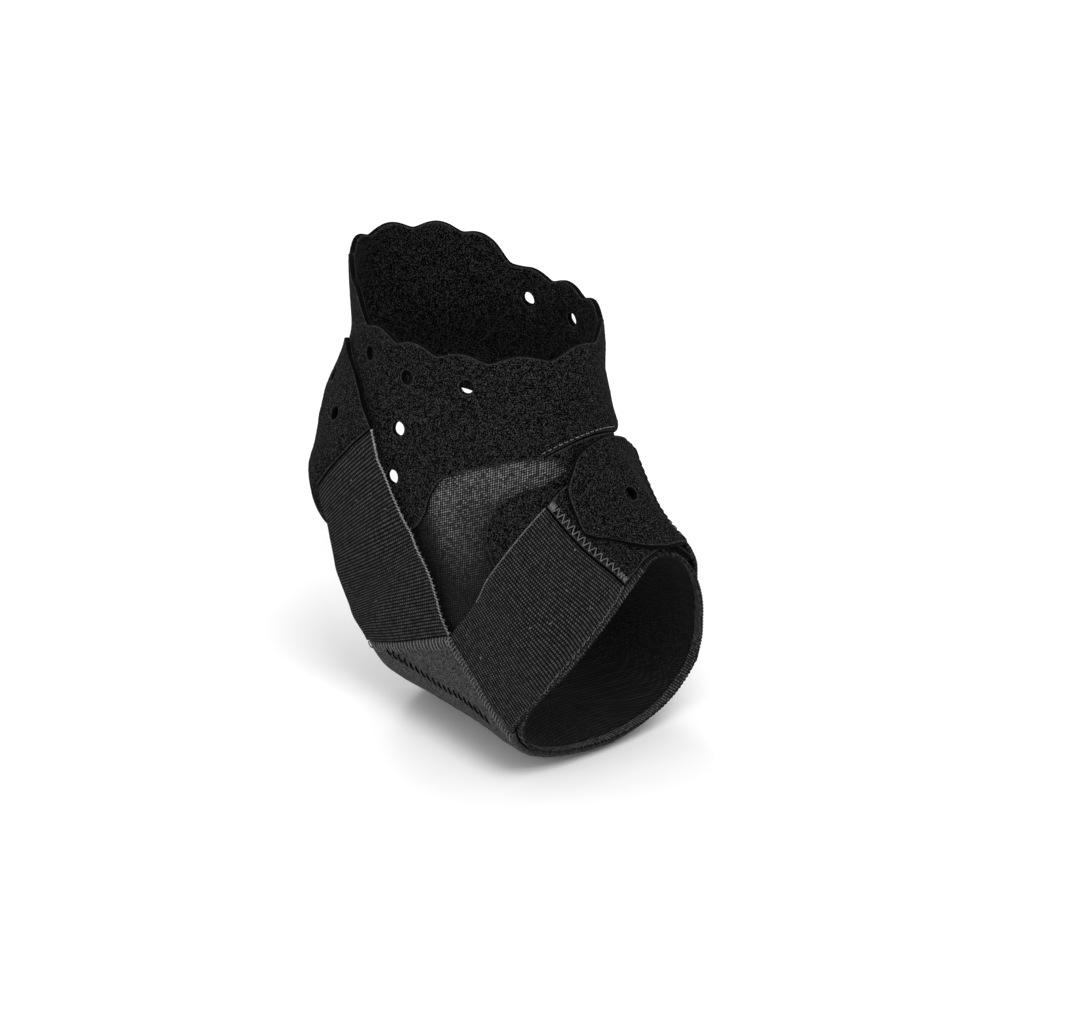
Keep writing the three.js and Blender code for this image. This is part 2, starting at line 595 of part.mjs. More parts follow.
function frontStrap(name, side, rearPoints, frontPoints, seat) {
  const padSeam = side > 0 ? PAD_FRONT_SEAM : mirrored(PAD_FRONT_SEAM);
  const start = beside(path(padSeam), side * -2.5 * LAYER_GAP);
  const end = beside(path([rearPoints.at(-1), frontPoints.at(-1)]), side * LAYER_GAP / 2);
  const widened = FRONT_STRAP_WIDTH / DRAWN_FRONT_STRAP_WIDTH;
  const spot = field(path(rearPoints), strapFront(rearPoints, frontPoints, widened), start, end);
  const settled = (turn, round, u) => {
    const low = seat(turn, round);
    return low + Math.max(FLUSH_WITH_PAD - low, 0) * (1 - smooth(u / SETTLED));
  };
  add(name, cloth(spot, settled, ELASTIC_THICKNESS), ELASTIC);
}

// The strap and the tab of the inner side close over those of the outer side
function frontStraps() {
  const step = VELOUR_THICKNESS + 1.2 * LAYER_GAP; // the tab below curves twice and asks for room
  const low = (turn, round) => OVER_SLEEVE + overTongue(turn, round);
  const high = (turn, round) => low(turn, round) + step * climbed(outerTabLoop, turn, round);
  frontStrap('front_strap_lateral', 1, FRONT_STRAP_REAR, FRONT_STRAP_FRONT, low);
  frontStrap('front_strap_medial', -1, INNER_STRAP_REAR, INNER_STRAP_FRONT, high);
  add('front_tab_lateral', cloth(outerTab, low, VELOUR_THICKNESS), VELOUR);
  const start = beside(path([INNER_TAB_REAR[0], INNER_TAB_FRONT[0]]), LAYER_GAP / 2);
  const spot = field(path(INNER_TAB_REAR), path(INNER_TAB_FRONT), start, path(INNER_TAB_END));
  add('front_tab_medial', punched(cloth(spot, high, VELOUR_THICKNESS), INNER_TAB_HOLES), VELOUR);
}

meshSleeve();
ankleCuff();
instepTongue();
solePad();
rearStrap('rear_strap_lateral', 1);
rearStrap('rear_strap_medial', -1);
rearTab('rear_tab_lateral', 1);
rearTab('rear_tab_medial', -1);
frontStraps();

export default brace;
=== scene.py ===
# %% [markdown]
# A plantar fasciitis brace, dressed
#
# The brace is worn on a right foot: a sheer knitted sleeve, a velour cuff with a scalloped edge,
# a knitted pad under the arch and four elastic straps that end in velour closing tabs. Its CAD
# model is the frame. Here each of its cloths is made again, finely enough to show ribs, pile,
# punched holes and stitches, and stands in the place of its CAD solid.

# %% Load the frame
import math

import bpy
import numpy as np
from mathutils import Matrix, Vector


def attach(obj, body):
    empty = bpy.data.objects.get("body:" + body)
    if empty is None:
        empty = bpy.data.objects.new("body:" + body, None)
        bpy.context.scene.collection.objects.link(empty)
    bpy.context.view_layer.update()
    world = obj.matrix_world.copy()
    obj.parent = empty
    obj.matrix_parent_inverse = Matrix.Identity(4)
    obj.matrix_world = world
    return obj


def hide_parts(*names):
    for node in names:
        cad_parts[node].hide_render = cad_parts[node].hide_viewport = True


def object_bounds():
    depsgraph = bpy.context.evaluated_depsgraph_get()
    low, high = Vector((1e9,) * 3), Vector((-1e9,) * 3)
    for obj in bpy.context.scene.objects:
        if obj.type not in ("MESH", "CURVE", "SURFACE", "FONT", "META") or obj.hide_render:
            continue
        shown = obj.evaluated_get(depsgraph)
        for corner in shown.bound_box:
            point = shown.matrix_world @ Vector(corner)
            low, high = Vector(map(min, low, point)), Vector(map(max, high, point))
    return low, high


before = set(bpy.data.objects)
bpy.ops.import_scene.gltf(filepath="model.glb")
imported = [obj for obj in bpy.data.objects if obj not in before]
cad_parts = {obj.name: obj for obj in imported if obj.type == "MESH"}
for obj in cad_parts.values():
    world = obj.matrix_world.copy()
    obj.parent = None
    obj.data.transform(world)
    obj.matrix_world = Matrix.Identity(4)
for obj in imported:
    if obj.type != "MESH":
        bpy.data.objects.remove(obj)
cad_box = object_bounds()
MM = 0.001
print("CAD nodes:", len(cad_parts))

# %% [markdown]
# The form of the foot
#
# Every cloth of the brace lies on one smooth form. It could be modelled by hand and shrink-wrapped,
# but a formula is exact and lets each cloth start from the same place as its CAD solid. A fan of
# egg-shaped sections turns about a line above the instep. "turn" picks the section, in degrees, and
# "around" goes round it: 0 is the front of the leg, 90 the outer side, 180 the heel or the sole.

# %% Sizes of the form, in millimetres
ANKLE_DEPTH = 84.5
ANKLE_WIDTH = 64.0
FAN_AHEAD = 0.994 * ANKLE_DEPTH
FAN_UP = 0.793 * ANKLE_DEPTH
STEP_AHEAD = 0.01183 * ANKLE_DEPTH
LEAN_FROM = 0.142 * ANKLE_DEPTH
LEAN_AHEAD = 0.035
LEAN_INWARD = 0.07

# Columns: turn, near, far, outer, inner, ridge, egg, flat
SECTIONS = np.array([
    [-60, 0.544, 1.604, 0.555, 0.547, 0.000, 0.14, 1.00],
    [0, 0.521, 1.500, 0.492, 0.508, 0.000, 0.16, 1.00],
    [15, 0.497, 1.545, 0.484, 0.508, 0.000, 0.14, 1.00],
    [28, 0.495, 1.850, 0.516, 0.547, 0.000, 0.08, 0.95],
    [38, 0.507, 2.243, 0.569, 0.570, 0.000, 0.00, 0.90],
    [46, 0.547, 2.314, 0.580, 0.570, 0.000, -0.02, 0.85],
    [54, 0.612, 2.060, 0.544, 0.564, 0.016, -0.05, 0.75],
    [65, 0.728, 1.820, 0.542, 0.533, 0.047, -0.10, 0.66],
    [78, 0.850, 1.678, 0.570, 0.472, 0.078, -0.14, 0.58],
    [90, 0.940, 1.650, 0.610, 0.458, 0.109, -0.16, 0.54],
    [116, 1.118, 1.680, 0.680, 0.510, 0.109, -0.14, 0.54],
])

# Columns: turn, around, turn span, around span, height as a share of the ankle's width
BUMPS = [
    (37, 98, 9, 22, 0.07), (34, 262, 9, 22, 0.07), (20, 142, 12, 20, -0.06), (20, 218, 12, 20, -0.06),
]


# %% Curves through a few points
def smooth(x):
    s = np.clip(x, 0.0, 1.0)
    return s * s * (3.0 - 2.0 * s)


def monotone(xs, ys):
    """A smooth curve through the points that never swings past them."""
    xs, ys = np.array(xs, float), np.array(ys, float)
    span = np.diff(xs)
    rise = np.diff(ys) / span
    before, after = rise[:-1], rise[1:]
    same = before * after > 0
    a, b = 2 * span[1:] + span[:-1], span[1:] + 2 * span[:-1]
    weights = a / np.where(same, before, 1) + b / np.where(same, after, 1)
    slope = np.zeros_like(ys)
    slope[0], slope[-1] = rise[0], rise[-1]
    slope[1:-1] = np.where(same, (a + b) / np.where(same, weights, 1), 0)

    def at(x):
        i = np.clip(np.searchsorted(xs, x, side="right") - 1, 0, len(span) - 1)
        h = span[i]
        s = np.clip((x - xs[i]) / h, 0.0, 1.0)
        start = ys[i] * (1 + 2 * s) * (1 - s) ** 2 + slope[i] * h * s * (1 - s) ** 2
        return start + ys[i + 1] * (3 - 2 * s) * s * s + slope[i + 1] * h * (s - 1) * s * s
    return at


near, far, outer, inner, ridge, egg, flat = [monotone(SECTIONS[:, 0], SECTIONS[:, i]) for i in range(1, 8)]


# %% [markdown]
# The heel and the sole are flatter than a circle, so equal steps of "around" crowd together there
# and leap just past 90, which would kink a strap. The cloths are laid out in an evened angle
# instead: the real direction in which a point lies. The tables keep their plain "around".

# %% Around, evened out and back
def evened(turn, around):
    cos, sin = np.cos(np.radians(around)), np.sin(np.radians(around))
    angle = np.degrees(np.arctan2(sin, np.where(cos >= 0, cos, -np.abs(cos) ** flat(turn))))
    return angle + 360 * np.round((around - angle) / 360)


def plain(turn, even):
    """The around whose evened angle is given, found by halving."""
    folded = np.abs((even + 180) % 360 - 180)
    goal = np.tan(np.radians(np.clip(folded - 90, 0, 89.9999)))
    low, high = np.zeros_like(folded), np.full_like(folded, np.pi / 2)
    power = flat(turn)
    for _ in range(24):
        middle = (low + high) / 2
        short = np.sin(middle) ** power < goal * np.cos(middle)
        low, high = np.where(short, middle, low), np.where(short, high, middle)
    angle = np.where(folded > 90, 90 + np.degrees(low), folded)
    angle = np.where((even + 180) % 360 >= 180, angle, -angle)
    return angle + 360 * np.floor((even + 180) / 360)


def even_points(points):
    points = np.array(points, float)
    return np.stack([points[:, 0], evened(points[:, 0], points[:, 1])], -1)


# %% A point of the bare foot, and the way out of it
def skin(turn, even):
    turn, even = np.broadcast_arrays(np.asarray(turn, float), np.asarray(even, float))
    around = plain(turn, even)
    cos, sin = np.cos(np.radians(around)), np.sin(np.radians(around))
    along = np.where(cos >= 0, cos, -np.abs(cos) ** flat(turn))
    middle = (near(turn) + far(turn)) / 2 * ANKLE_DEPTH
    half = (far(turn) - near(turn)) / 2 * ANKLE_DEPTH
    side = np.where(sin >= 0, outer(turn), inner(turn)) * ANKLE_WIDTH
    shift = ridge(turn) * ANKLE_WIDTH / 2
    r = -half * along
    y = -side * sin * (1 + egg(turn) * along) + shift * cos
    swell = np.zeros_like(r)
    for bump_turn, bump_around, turn_span, around_span, height in BUMPS:
        off = (around - bump_around + 180) % 360 - 180
        near_bump = np.exp(-((turn - bump_turn) / turn_span) ** 2 - (off / around_span) ** 2)
        swell += height * ANKLE_WIDTH * near_bump
    swell /= np.hypot(r, y)
    r, y = r * (1 + swell), y * (1 + swell) + shift
    fan = np.radians(np.clip(turn, 0, 90))
    x = FAN_AHEAD + np.maximum(turn - 90, 0) * STEP_AHEAD - np.cos(fan) * (middle + r)
    z = FAN_UP + np.maximum(-turn, 0) * STEP_AHEAD - np.sin(fan) * (middle + r)
    lean = np.maximum(z - LEAN_FROM, 0)
    return np.stack([x + LEAN_AHEAD * lean, y + LEAN_INWARD * lean, z], -1)


PROBE = 0.25  # degrees on each side of a point where slopes are measured


def per_turn(turn, around):
    return (skin(turn + PROBE, around) - skin(turn - PROBE, around)) / (2 * PROBE)


def per_around(turn, around):
    return (skin(turn, around + PROBE) - skin(turn, around - PROBE)) / (2 * PROBE)


def outward(turn, around):
    way = np.cross(per_around(turn, around), per_turn(turn, around))
    return way / np.linalg.norm(way, axis=-1, keepdims=True)


def length(vectors):
    return np.linalg.norm(vectors, axis=-1)


def run(spots):
    """The length of a row of places on the form, in millimetres along the skin."""
    return np.sum(length(np.diff(skin(spots[:, 0], spots[:, 1]), axis=0)))


print("girth of the ankle:", round(run(np.array([(0.0, angle) for angle in range(361)]))), "mm")

# %% [markdown]
# Edges and fields
#
# A tailor would draw each piece flat and then wrap it. Here each edge is a path on the form, given
# by a few points of turn and around, and a field is stretched between four such edges. A field
# takes two shares, u along the piece and v across it, and gives the place on the form.


# %% Paths and fields
def path(points):
    points = even_points(points)
    steps = np.cumsum(length(np.diff(skin(points[:, 0], points[:, 1]), axis=0)))
    shares = np.concatenate([[0], steps]) / steps[-1]
    turn, around = monotone(shares, points[:, 0]), monotone(shares, points[:, 1])
    return lambda share: np.stack([turn(share), around(share)], -1)


def mirrored(points):
    return [(turn, -around) for turn, around in points]


def beside(curve, distance):
    """The path that runs beside another one, to its left by the given millimetres."""
    reach = 0.01

    def at(share):
        here = curve(share)
        step = curve(np.minimum(share + reach, 1)) - curve(np.maximum(share - reach, 0))
        turn_size = length(per_turn(here[..., 0], here[..., 1]))
        around_size = length(per_around(here[..., 0], here[..., 1]))
        by_turn, by_around = step[..., 0] * turn_size, step[..., 1] * around_size
        size = np.hypot(by_turn, by_around)
        moves = np.stack([-by_around / size / turn_size, by_turn / size / around_size], -1)
        return here + distance * moves
    return at


def joined(curve, first, last):
    """The same path with its ends brought to two given points."""
    start_off, end_off = first - curve(np.array(0.0)), last - curve(np.array(1.0))
    return lambda share: curve(share) + start_off * (1 - share[..., None]) + end_off * share[..., None]


def field(rear, front, start, end):
    zero, one = np.array(0.0), np.array(1.0)
    a, b = joined(rear, start(zero), end(zero)), joined(front, start(one), end(one))

    def at(u, v):
        p, q = u[..., None], v[..., None]
        across = (1 - q) * a(u) + q * b(u)
        along = (1 - p) * start(v) + p * end(v)
        start_corners = (1 - q) * start(zero) + q * start(one)
        end_corners = (1 - q) * end(zero) + q * end(one)
        return across + along - (1 - p) * start_corners - p * end_corners
    return at


# %% [markdown]
# Layers
#
# The cloths lie on each other, so each has a seat: its height above the skin. Where a cloth passes
# over the edge of another one, it climbs that layer over a short drape. The seats repeat those of
# the CAD solids, so that the dressed pieces stay clear of each other in the same way.

# %% Thicknesses and seats, in millimetres
KNIT = 1.0
VELOUR = 2.0
ELASTIC = 1.5
PAD = 2.4
GAP = 0.36
DRAPE = 10.0
DRAPE_MARGIN = 2.0
OVER_SLEEVE = KNIT + GAP
OVER_CUFF = VELOUR + 2 * GAP
OVER_BOTH = OVER_SLEEVE + VELOUR + GAP
PAD_SEAT = OVER_SLEEVE + GAP / 2
FLUSH_WITH_PAD = PAD_SEAT + PAD - ELASTIC
SETTLED = 0.25  # share of a strap after which it has settled on the layers below


def outline(spot, points=24):
    share = np.arange(points) / points
    one, zero = np.ones(points), np.zeros(points)
    sides = [spot(share, zero), spot(one, share), spot(1 - share, one), spot(zero, 1 - share)]
    return np.concatenate(sides)


def climbed(loop, turn, around):
    """How much of a layer is climbed: 1 inside its outline and 0 beyond the drape."""
    shape = turn.shape
    turn, around = turn.ravel(), around.ravel()
    turn_size, around_size = length(per_turn(turn, around)), length(per_around(turn, around))
    nearest = np.full(turn.size, np.inf)
    inside = np.zeros(turn.size, bool)
    for (turn1, around1), (turn2, around2) in zip(np.roll(loop, 1, axis=0), loop):
        x1, y1 = (turn1 - turn) * turn_size, (around1 - around) * around_size
        dx, dy = (turn2 - turn1) * turn_size, (around2 - around1) * around_size
        along = np.clip(-(x1 * dx + y1 * dy) / (dx * dx + dy * dy), 0, 1)
        nearest = np.minimum(nearest, np.hypot(x1 + along * dx, y1 + along * dy))
        crosses = (y1 > 0) != (y1 + dy > 0)
        inside ^= crosses & (x1 - y1 * dx / np.where(crosses, dy, 1) > 0)
    return np.where(inside, 1.0, smooth(1 - (nearest - DRAPE_MARGIN) / DRAPE)).reshape(shape)


# %% [markdown]
# A fine sheet of cloth
#
# A real sheet has two faces and a rounded edge. The usual Solidify modifier leaves a square rim and
# knows nothing of ribs or pile. So the sheet is built in numpy as a grid with an inner and an outer
# face, whose thickness falls to nothing at the edge along a rounded profile. Punched holes are cut
# in the same way: cells inside a hole go, and the points beside it move onto its circle. Relief
# raises the outer face for ribs, loops or pile. Each point keeps its place in the weave, as
# millimetres along, across and from the edge, for the materials to read.

# %% Helpers for the grid of a sheet
HOLE = 4.2  # diameter in millimetres
HOLE_BRINK = 0.12  # width of the steep wall of a punched hole
HOLE_WALL = 2.5 * HOLE_BRINK  # distance over which the cloth is full again
THIN = 1e-4  # fullness at which the two faces share a point
DEEP_INSIDE = 20  # the materials are told no greater distance from the edge
rng = np.random.default_rng(11)
made = {}


def evenly(total, cell, edge):
    """Shares from 0 to 1, one cell apart and closer together in the rounded edge."""
    close = edge * np.array([0.0, 0.07, 0.28, 0.6]) / total
    count = max(round((total - 2 * edge) / cell), 2)
    return np.concatenate([close, np.linspace(edge / total, 1 - edge / total, count + 1), 1 - close[::-1]])


def widened(mask):
    """The mask and the eight neighbours of each of its points."""
    taller = mask | np.roll(mask, 1, 0) | np.roll(mask, -1, 0)
    return taller | np.roll(taller, 1, 1) | np.roll(taller, -1, 1)


def rounded(distance, edge):
    return np.sqrt(1 - (1 - np.clip(distance / edge, 0, 1)) ** 2)


def arc(points, axis):
    """The length of the grid's lines from their start, in millimetres."""
    steps = np.cumsum(length(np.diff(points, axis=axis)), axis=axis)
    return np.concatenate([np.zeros_like(steps.take([0], axis)), steps], axis=axis)


def new_object(name, points, faces, cloth=None, extra=None):
    """A smooth mesh from points in millimetres, riding on the root body."""
    mesh = bpy.data.meshes.new(name)
    mesh.from_pydata(points * MM, [], faces.tolist())
    mesh.shade_smooth()
    if cloth is not None:
        mesh.attributes.new("cloth", "FLOAT_VECTOR", "POINT").data.foreach_set("vector", cloth.ravel())
    for key, values in (extra or {}).items():
        mesh.attributes.new(key, "FLOAT", "POINT").data.foreach_set("value", values.ravel())
    piece = bpy.data.objects.new(name, mesh)
    bpy.context.scene.collection.objects.link(piece)
    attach(piece, "root")
    made[name] = piece
    return piece


def faced_out(points, faces):
    a, b, c = points[faces[:, 0]], points[faces[:, 1]], points[faces[:, 2]]
    volume = np.sum(a * np.cross(b, c)) + np.sum(a * np.cross(c, points[faces[:, -1]]))
    return faces if volume > 0 else faces[:, ::-1]


# %% Holes, faces and sizes of a sheet
def punched(holes, seat, thickness, cell, centre, fullness, from_edge):
    """Cuts the holes: marks the points inside them and moves those beside them onto their circles."""
    cut = np.zeros(fullness.shape, bool)
    for hole_turn, hole_around in even_points(holes) if len(holes) else ():
        height = seat(np.array([hole_turn]), np.array([hole_around]), np.array([0.5]))[0] + thickness / 2
        eye = skin(hole_turn, hole_around) + outward(hole_turn, hole_around) * height
        apart = length(centre - eye)
        inside = apart < HOLE / 2 + 0.3 * min(cell)
        rim = widened(inside) & ~inside
        brink = widened(rim) & ~rim & ~inside
        from_hole = np.where(rim, 0, np.where(brink, HOLE_BRINK, np.maximum(apart - HOLE / 2, 0)))
        onto = eye + (centre - eye) * ((HOLE / 2 + from_hole) / np.maximum(apart, 1e-6))[..., None]
        centre = np.where((rim | brink)[..., None], onto, centre)
        fullness = fullness * rounded(from_hole, HOLE_WALL)
        from_edge = np.minimum(from_edge, from_hole)
        cut |= inside
    return cut, centre, fullness, from_edge


def two_faces(cut, fullness, ring):
    """Quads of the outer and the inner face, which share their points along the thin edges."""
    columns, rows = cut.shape
    place = np.arange(cut.size).reshape(cut.shape)
    below = np.where(fullness < THIN, place, place + cut.size)
    i, j = np.meshgrid(np.arange(columns if ring else columns - 1), np.arange(rows - 1), indexing="ij")
    k = (i + 1) % columns
    kept = ~(cut[i, j] | cut[k, j] | cut[k, j + 1] | cut[i, j + 1])
    i, j, k = i[kept], j[kept], k[kept]
    top = np.stack([place[i, j], place[k, j], place[k, j + 1], place[i, j + 1]], -1)
    under = np.stack([below[i, j], below[i, j + 1], below[k, j + 1], below[k, j]], -1)
    return np.concatenate([top, under])


def measure(piece, centre, ring):
    """Keeps the size and the area of the middle surface with the piece."""
    steps_u = np.diff(np.concatenate([centre, centre[:1]]) if ring else centre, axis=0)
    steps_v = np.diff(centre, axis=1)
    patch = np.cross(steps_u[:, :-1], steps_v[: len(steps_u)])
    piece["length_mm"], piece["width_mm"] = length(steps_u).sum(0).max(), length(steps_v).sum(1).max()
    piece["area_mm2"] = length(patch).sum()
    size = f"{piece['length_mm']:.0f} by {piece['width_mm']:.0f} mm, {piece['area_mm2'] / 100:.0f} cm2"
    print(f"{piece.name}: {size}, {2 * len(piece.data.polygons)} triangles")


# %% The sheet itself
def sheet(name, spot, seat, thickness, cell, edge=0.7, ring=False, holes=(), relief=None, extra=None,
          weave=None):
    """Builds a closed sheet over a field. cell is its grid in millimetres, along and across."""
    share, half = np.linspace(0, 1, 61), np.full(61, 0.5)
    total, wide = run(spot(share, half)), run(spot(half, share))
    count = round(total / cell[0])
    shares = np.arange(count) / count if ring else evenly(total, cell[0], edge)
    u, v = np.meshgrid(shares, evenly(wide, cell[1], edge), indexing="ij")
    turn, around = np.moveaxis(spot(u, v), -1, 0)
    way = outward(turn, around)
    centre = skin(turn, around) + way * (seat(turn, around, u) + thickness / 2)[..., None]
    across = arc(centre, 1)
    from_edge = np.minimum(across, across[:, -1:] - across)
    fullness = rounded(from_edge, edge)
    if not ring:
        along = arc(centre, 0)
        from_end = np.minimum(along, along[-1:] - along)
        fullness = fullness * rounded(from_end, edge)
        from_edge = np.minimum(from_edge, from_end)
    cut, centre, fullness, from_edge = punched(holes, seat, thickness, cell, centre, fullness, from_edge)
    raised = np.zeros(u.shape) if relief is None else relief(u * total, v * wide, from_edge)
    outside = centre + way * (thickness / 2 * fullness + raised * fullness)[..., None]
    inside = centre - way * (thickness / 2 * fullness)[..., None]
    used, faces = np.unique(two_faces(cut, fullness, ring), return_inverse=True)
    faces = faces.reshape(-1, 4)
    points = np.concatenate([outside.reshape(-1, 3), inside.reshape(-1, 3)])[used]
    rows, lines = weave(centre) if weave else (u * total, v * wide)
    cloth = np.stack([rows, lines, np.minimum(from_edge, DEEP_INSIDE)], -1).reshape(-1, 3)
    more = {key: np.tile(values(turn, around).ravel(), 2)[used] for key, values in (extra or {}).items()}
    piece = new_object(name, points, faced_out(points, faces), np.tile(cloth, (2, 1))[used], more)
    measure(piece, centre, ring)


# %% [markdown]
# Threads
#
# A stitch is a short piece of thread that dives into the cloth at both ends. Curves with a bevel
# would do, but hundreds of them are lighter as one mesh, so each thread is swept as a small tube
# along its points and all the threads of a seam are joined.


# %% Tubes along points
def tube(points, radius, sides=6, ply=0.0, ply_pitch=1.0, lap=False):
    """Points and faces of a tube. With ply, it bulges like a cord twisted from two yarns."""
    points = np.asarray(points, float)
    way = np.gradient(points, axis=0)
    way /= length(way)[:, None]
    side = np.cross(way, np.array([0.36, 0.48, 0.8]))
    side /= length(side)[:, None]
    up = np.cross(side, way)
    angle = np.arange(sides) / sides * 2 * np.pi
    run = np.concatenate([[0], np.cumsum(length(np.diff(points, axis=0)))])
    twist = angle[None, :] - 2 * np.pi * run[:, None] / ply_pitch
    size = radius * (1 + ply * np.cos(2 * twist))
    ring = np.cos(angle)[None, :, None] * side[:, None] + np.sin(angle)[None, :, None] * up[:, None]
    grid = points[:, None] + ring * size[..., None]
    place = np.arange(grid.size // 3).reshape(grid.shape[:2])
    a, b = place[:-1], place[1:]
    faces = np.stack([a, b, np.roll(b, -1, 1), np.roll(a, -1, 1)], -1).reshape(-1, 4)
    ends = np.array([place[0], place[-1, ::-1]])
    caps = np.concatenate([np.stack([e[[0]], e[[i]], e[[i + 1]], e[[i + 2]]], -1) for e in ends
                           for i in range(1, sides - 2, 2)])
    return grid.reshape(-1, 3), np.concatenate([faces, caps])


def threads(name, lines, radius, **tube_settings):
    """One piece of many threads."""
    points, faces, start = [], [], 0
    for line in lines:
        p, f = tube(line, radius, **tube_settings)
        points.append(p)
        faces.append(f + start)
        start += len(p)
    points, faces = np.concatenate(points), np.concatenate(faces)
    new_object(name, points, faces)
    print(f"{name}: {len(lines)} threads, {2 * len(faces)} triangles")


def on_form(spots, heights):
    """Points in space over a list of turn and around, at heights above the skin."""
    spots = np.asarray(spots, float)
    turn, around = spots[..., 0], spots[..., 1]
    return skin(turn, around) + outward(turn, around) * np.asarray(heights)[..., None]


def stitch(spot_a, spot_b, height, lift=0.35, sink=0.5, points=7):
    """A thread from one place to another that bows up from the cloth and dives in at both ends."""
    share = np.linspace(0, 1, points)
    spots = np.asarray(spot_a)[None] * (1 - share[:, None]) + np.asarray(spot_b)[None] * share[:, None]
    bow = (lift + sink) * np.sqrt(np.sin(np.pi * share)) - sink
    return on_form(spots, height + bow)


# %% [markdown]
# The sheer sleeve
#
# The sleeve is one tube of fine knitted net from above the ankle to the middle of the foot. It is
# pulled tightest beside the cuff's edge, where its loops open. Making every loop as a mesh would
# take millions of faces, so the sleeve is a smooth closed wall here, and its loops are left to a
# knit shader that reads how far each point is pulled and paints a shine on its loops there, with a
# painted shadow beside the rear strap's front edge.

# %% Outlines of the sleeve and the cuff
SEAM_TURN = 56.3
CUFF_FOOT = [
    (0, SEAM_TURN), (24, SEAM_TURN), (32, 53.8), (39, 51.4), (45.5, 49.0), (52, 47.2), (56, 46.6),
    (61.5, 47.8), (67, 49.6), (71.5, 50.2), (77, 49.6), (84, 47.4), (90, 44.5), (95, 40.8),
    (98.5, 36.5), (103.5, 34.2), (110, 32.4), (116, 30.4), (126, 28.9), (146, 27.5), (180, 26.5),
]
SLEEVE_TOP = [
    (0, 52.5), (20, 51), (40, 46), (55, 42), (65, 43.5), (73, 47.5), (80, 52), (88, 58),
    (95, 61), (105, 62), (120, 61.5), (150, 60.5), (180, 60.5),
]
SLEEVE_FRONT = [
    (-180, 85.2), (-150, 85.0), (-125, 84.8), (-106, 85.2), (-92, 86.0), (-78, 86.4), (-62, 86.6),
    (-46, 87.0), (-34, 87.4), (-22, 87.9), (-12, 88.2), (0, 88.9), (10, 90.6), (22, 92.8), (37, 94.8),
    (48, 95.5), (61, 95.1), (77, 92.8), (90, 89.1), (104, 85.6), (125, 84.8), (150, 85.0), (180, 85.2),
]
HEM_WIDTH = 3.5
HEM_GIRTH = 215
HEM_RIB = 1.3
LEVEL = 80.0  # the turn at which the columns of the sleeve and the hem are evenly spaced
# Turn and around of the rear strap's front edge, whose painted shadow closes the window
WINDOW_REAR = [(40, 71.6), (46, 71.0), (50, 73.5), (54, 78), (60, 85), (67, 93)]


def edge_table(rows):
    """The turn of an edge for an evened angle."""
    around, turn = np.array(rows, float).T
    return monotone(evened(turn, around), turn)


cuff_foot_at, sleeve_top_at = edge_table(CUFF_FOOT), edge_table(SLEEVE_TOP)
sleeve_front_at = edge_table(SLEEVE_FRONT)
window_rear_at = monotone(*np.array(WINDOW_REAR).T)


def cuff_foot(around):
    turn = cuff_foot_at(np.abs(around))
    return turn - GAP / 2 / length(per_turn(turn, around))


def behind_front(distance):
    def at(around):
        turn = sleeve_front_at(around)
        return turn - distance / length(per_turn(turn, around))
    return at


def band_field(level, top, foot):
    """The field of a band around the form. Its columns are evenly spaced at the level turn."""
    loop = path([(level, around) for around in range(-180, 181, 5)])

    def at(u, v):
        around = loop(u)[..., 1]
        return np.stack([top(around) + v * (foot(around) - top(around)), around], -1)
    return at


# The sleeve's stretch attribute holds how much painted shine its loops get, with a painted shadow beside the
# rear strap
def painted_shine_and_strap_shadow(turn, around):
    """Painted loop shine: 1 beside the cuff's lower edge, falling to 0 some way down the sleeve and in the
    painted shadow beside the rear strap.
    """
    reach, fading, shadow, tucked = 30.0, 1.6, 11.0, 1.5
    down = (turn - cuff_foot(around)) * length(per_turn(turn, around))
    # A painted shadow: no shine on the loops within a few millimetres of the rear strap's front edge
    outside_strap_shadow = smooth((window_rear_at(turn) - np.abs(around) - tucked) / shadow)
    return np.clip(1 - down / reach, 0, 1) ** fading * outside_strap_shadow


# %% The sleeve and its hem
def sleeve_top(around):
    return sleeve_top_at(np.abs(around))


def bare(turn, around, u):
    return np.zeros_like(turn)


def courses(along, across, from_edge):
    """The rows of the knit show as faint rings."""
    height, pitch, margin = 0.05, 2.8, 3
    return height * np.sin(2 * np.pi * across / pitch) * smooth(from_edge / margin)


def net(points):
    """Wales that run up the leg, and courses that rise towards the instep, in millimetres."""
    x, y, z = np.moveaxis(points, -1, 0)
    return x - 0.8 * np.abs(y), 0.9 * z - 0.4 * x


def picots(u, v):
    """The hem's field, with its front edge drawn out into small loops."""
    depth = 0.55
    spots = band_field(LEVEL, behind_front(HEM_WIDTH), sleeve_front_at)(u, v)
    turn_size = length(per_turn(spots[..., 0], spots[..., 1]))
    wave = np.abs(np.sin(np.pi * u * round(HEM_GIRTH / HEM_RIB))) - 1
    spots[..., 0] += depth * wave * smooth(3 * v - 2) / turn_size
    return spots


def hem_ribs(along, across, from_edge):
    return 0.12 * np.cos(2 * np.pi * along / HEM_RIB)


sheet("sheer_sleeve", band_field(LEVEL, sleeve_top, behind_front(HEM_WIDTH + GAP)), bare, KNIT,
      cell=(0.9, 0.9), edge=0.5, ring=True, relief=courses, extra={"stretch": painted_shine_and_strap_shadow}, weave=net)
# The hem's loops get an even painted shine, set by its stretch attribute
sheet("ribbed_hem", picots, bare, KNIT, cell=(0.26, 0.5), edge=0.4, ring=True, relief=hem_ribs,
      extra={"stretch": lambda turn, around: np.full_like(turn, 0.45)})

# %% [markdown]
# The velour cuff
#
# The cuff is a loop-pile velour laminate, the soft side of a hook-and-loop closure, cut with a
# scalloped upper edge and punched with small air holes. Hair particles could make the pile, but at
# the size of a photograph it reads as a grainy, clumpy surface, so the outer face gets a seeded
# grain of a tenth of a millimetre and broader clumps, and the shader adds the light tips.

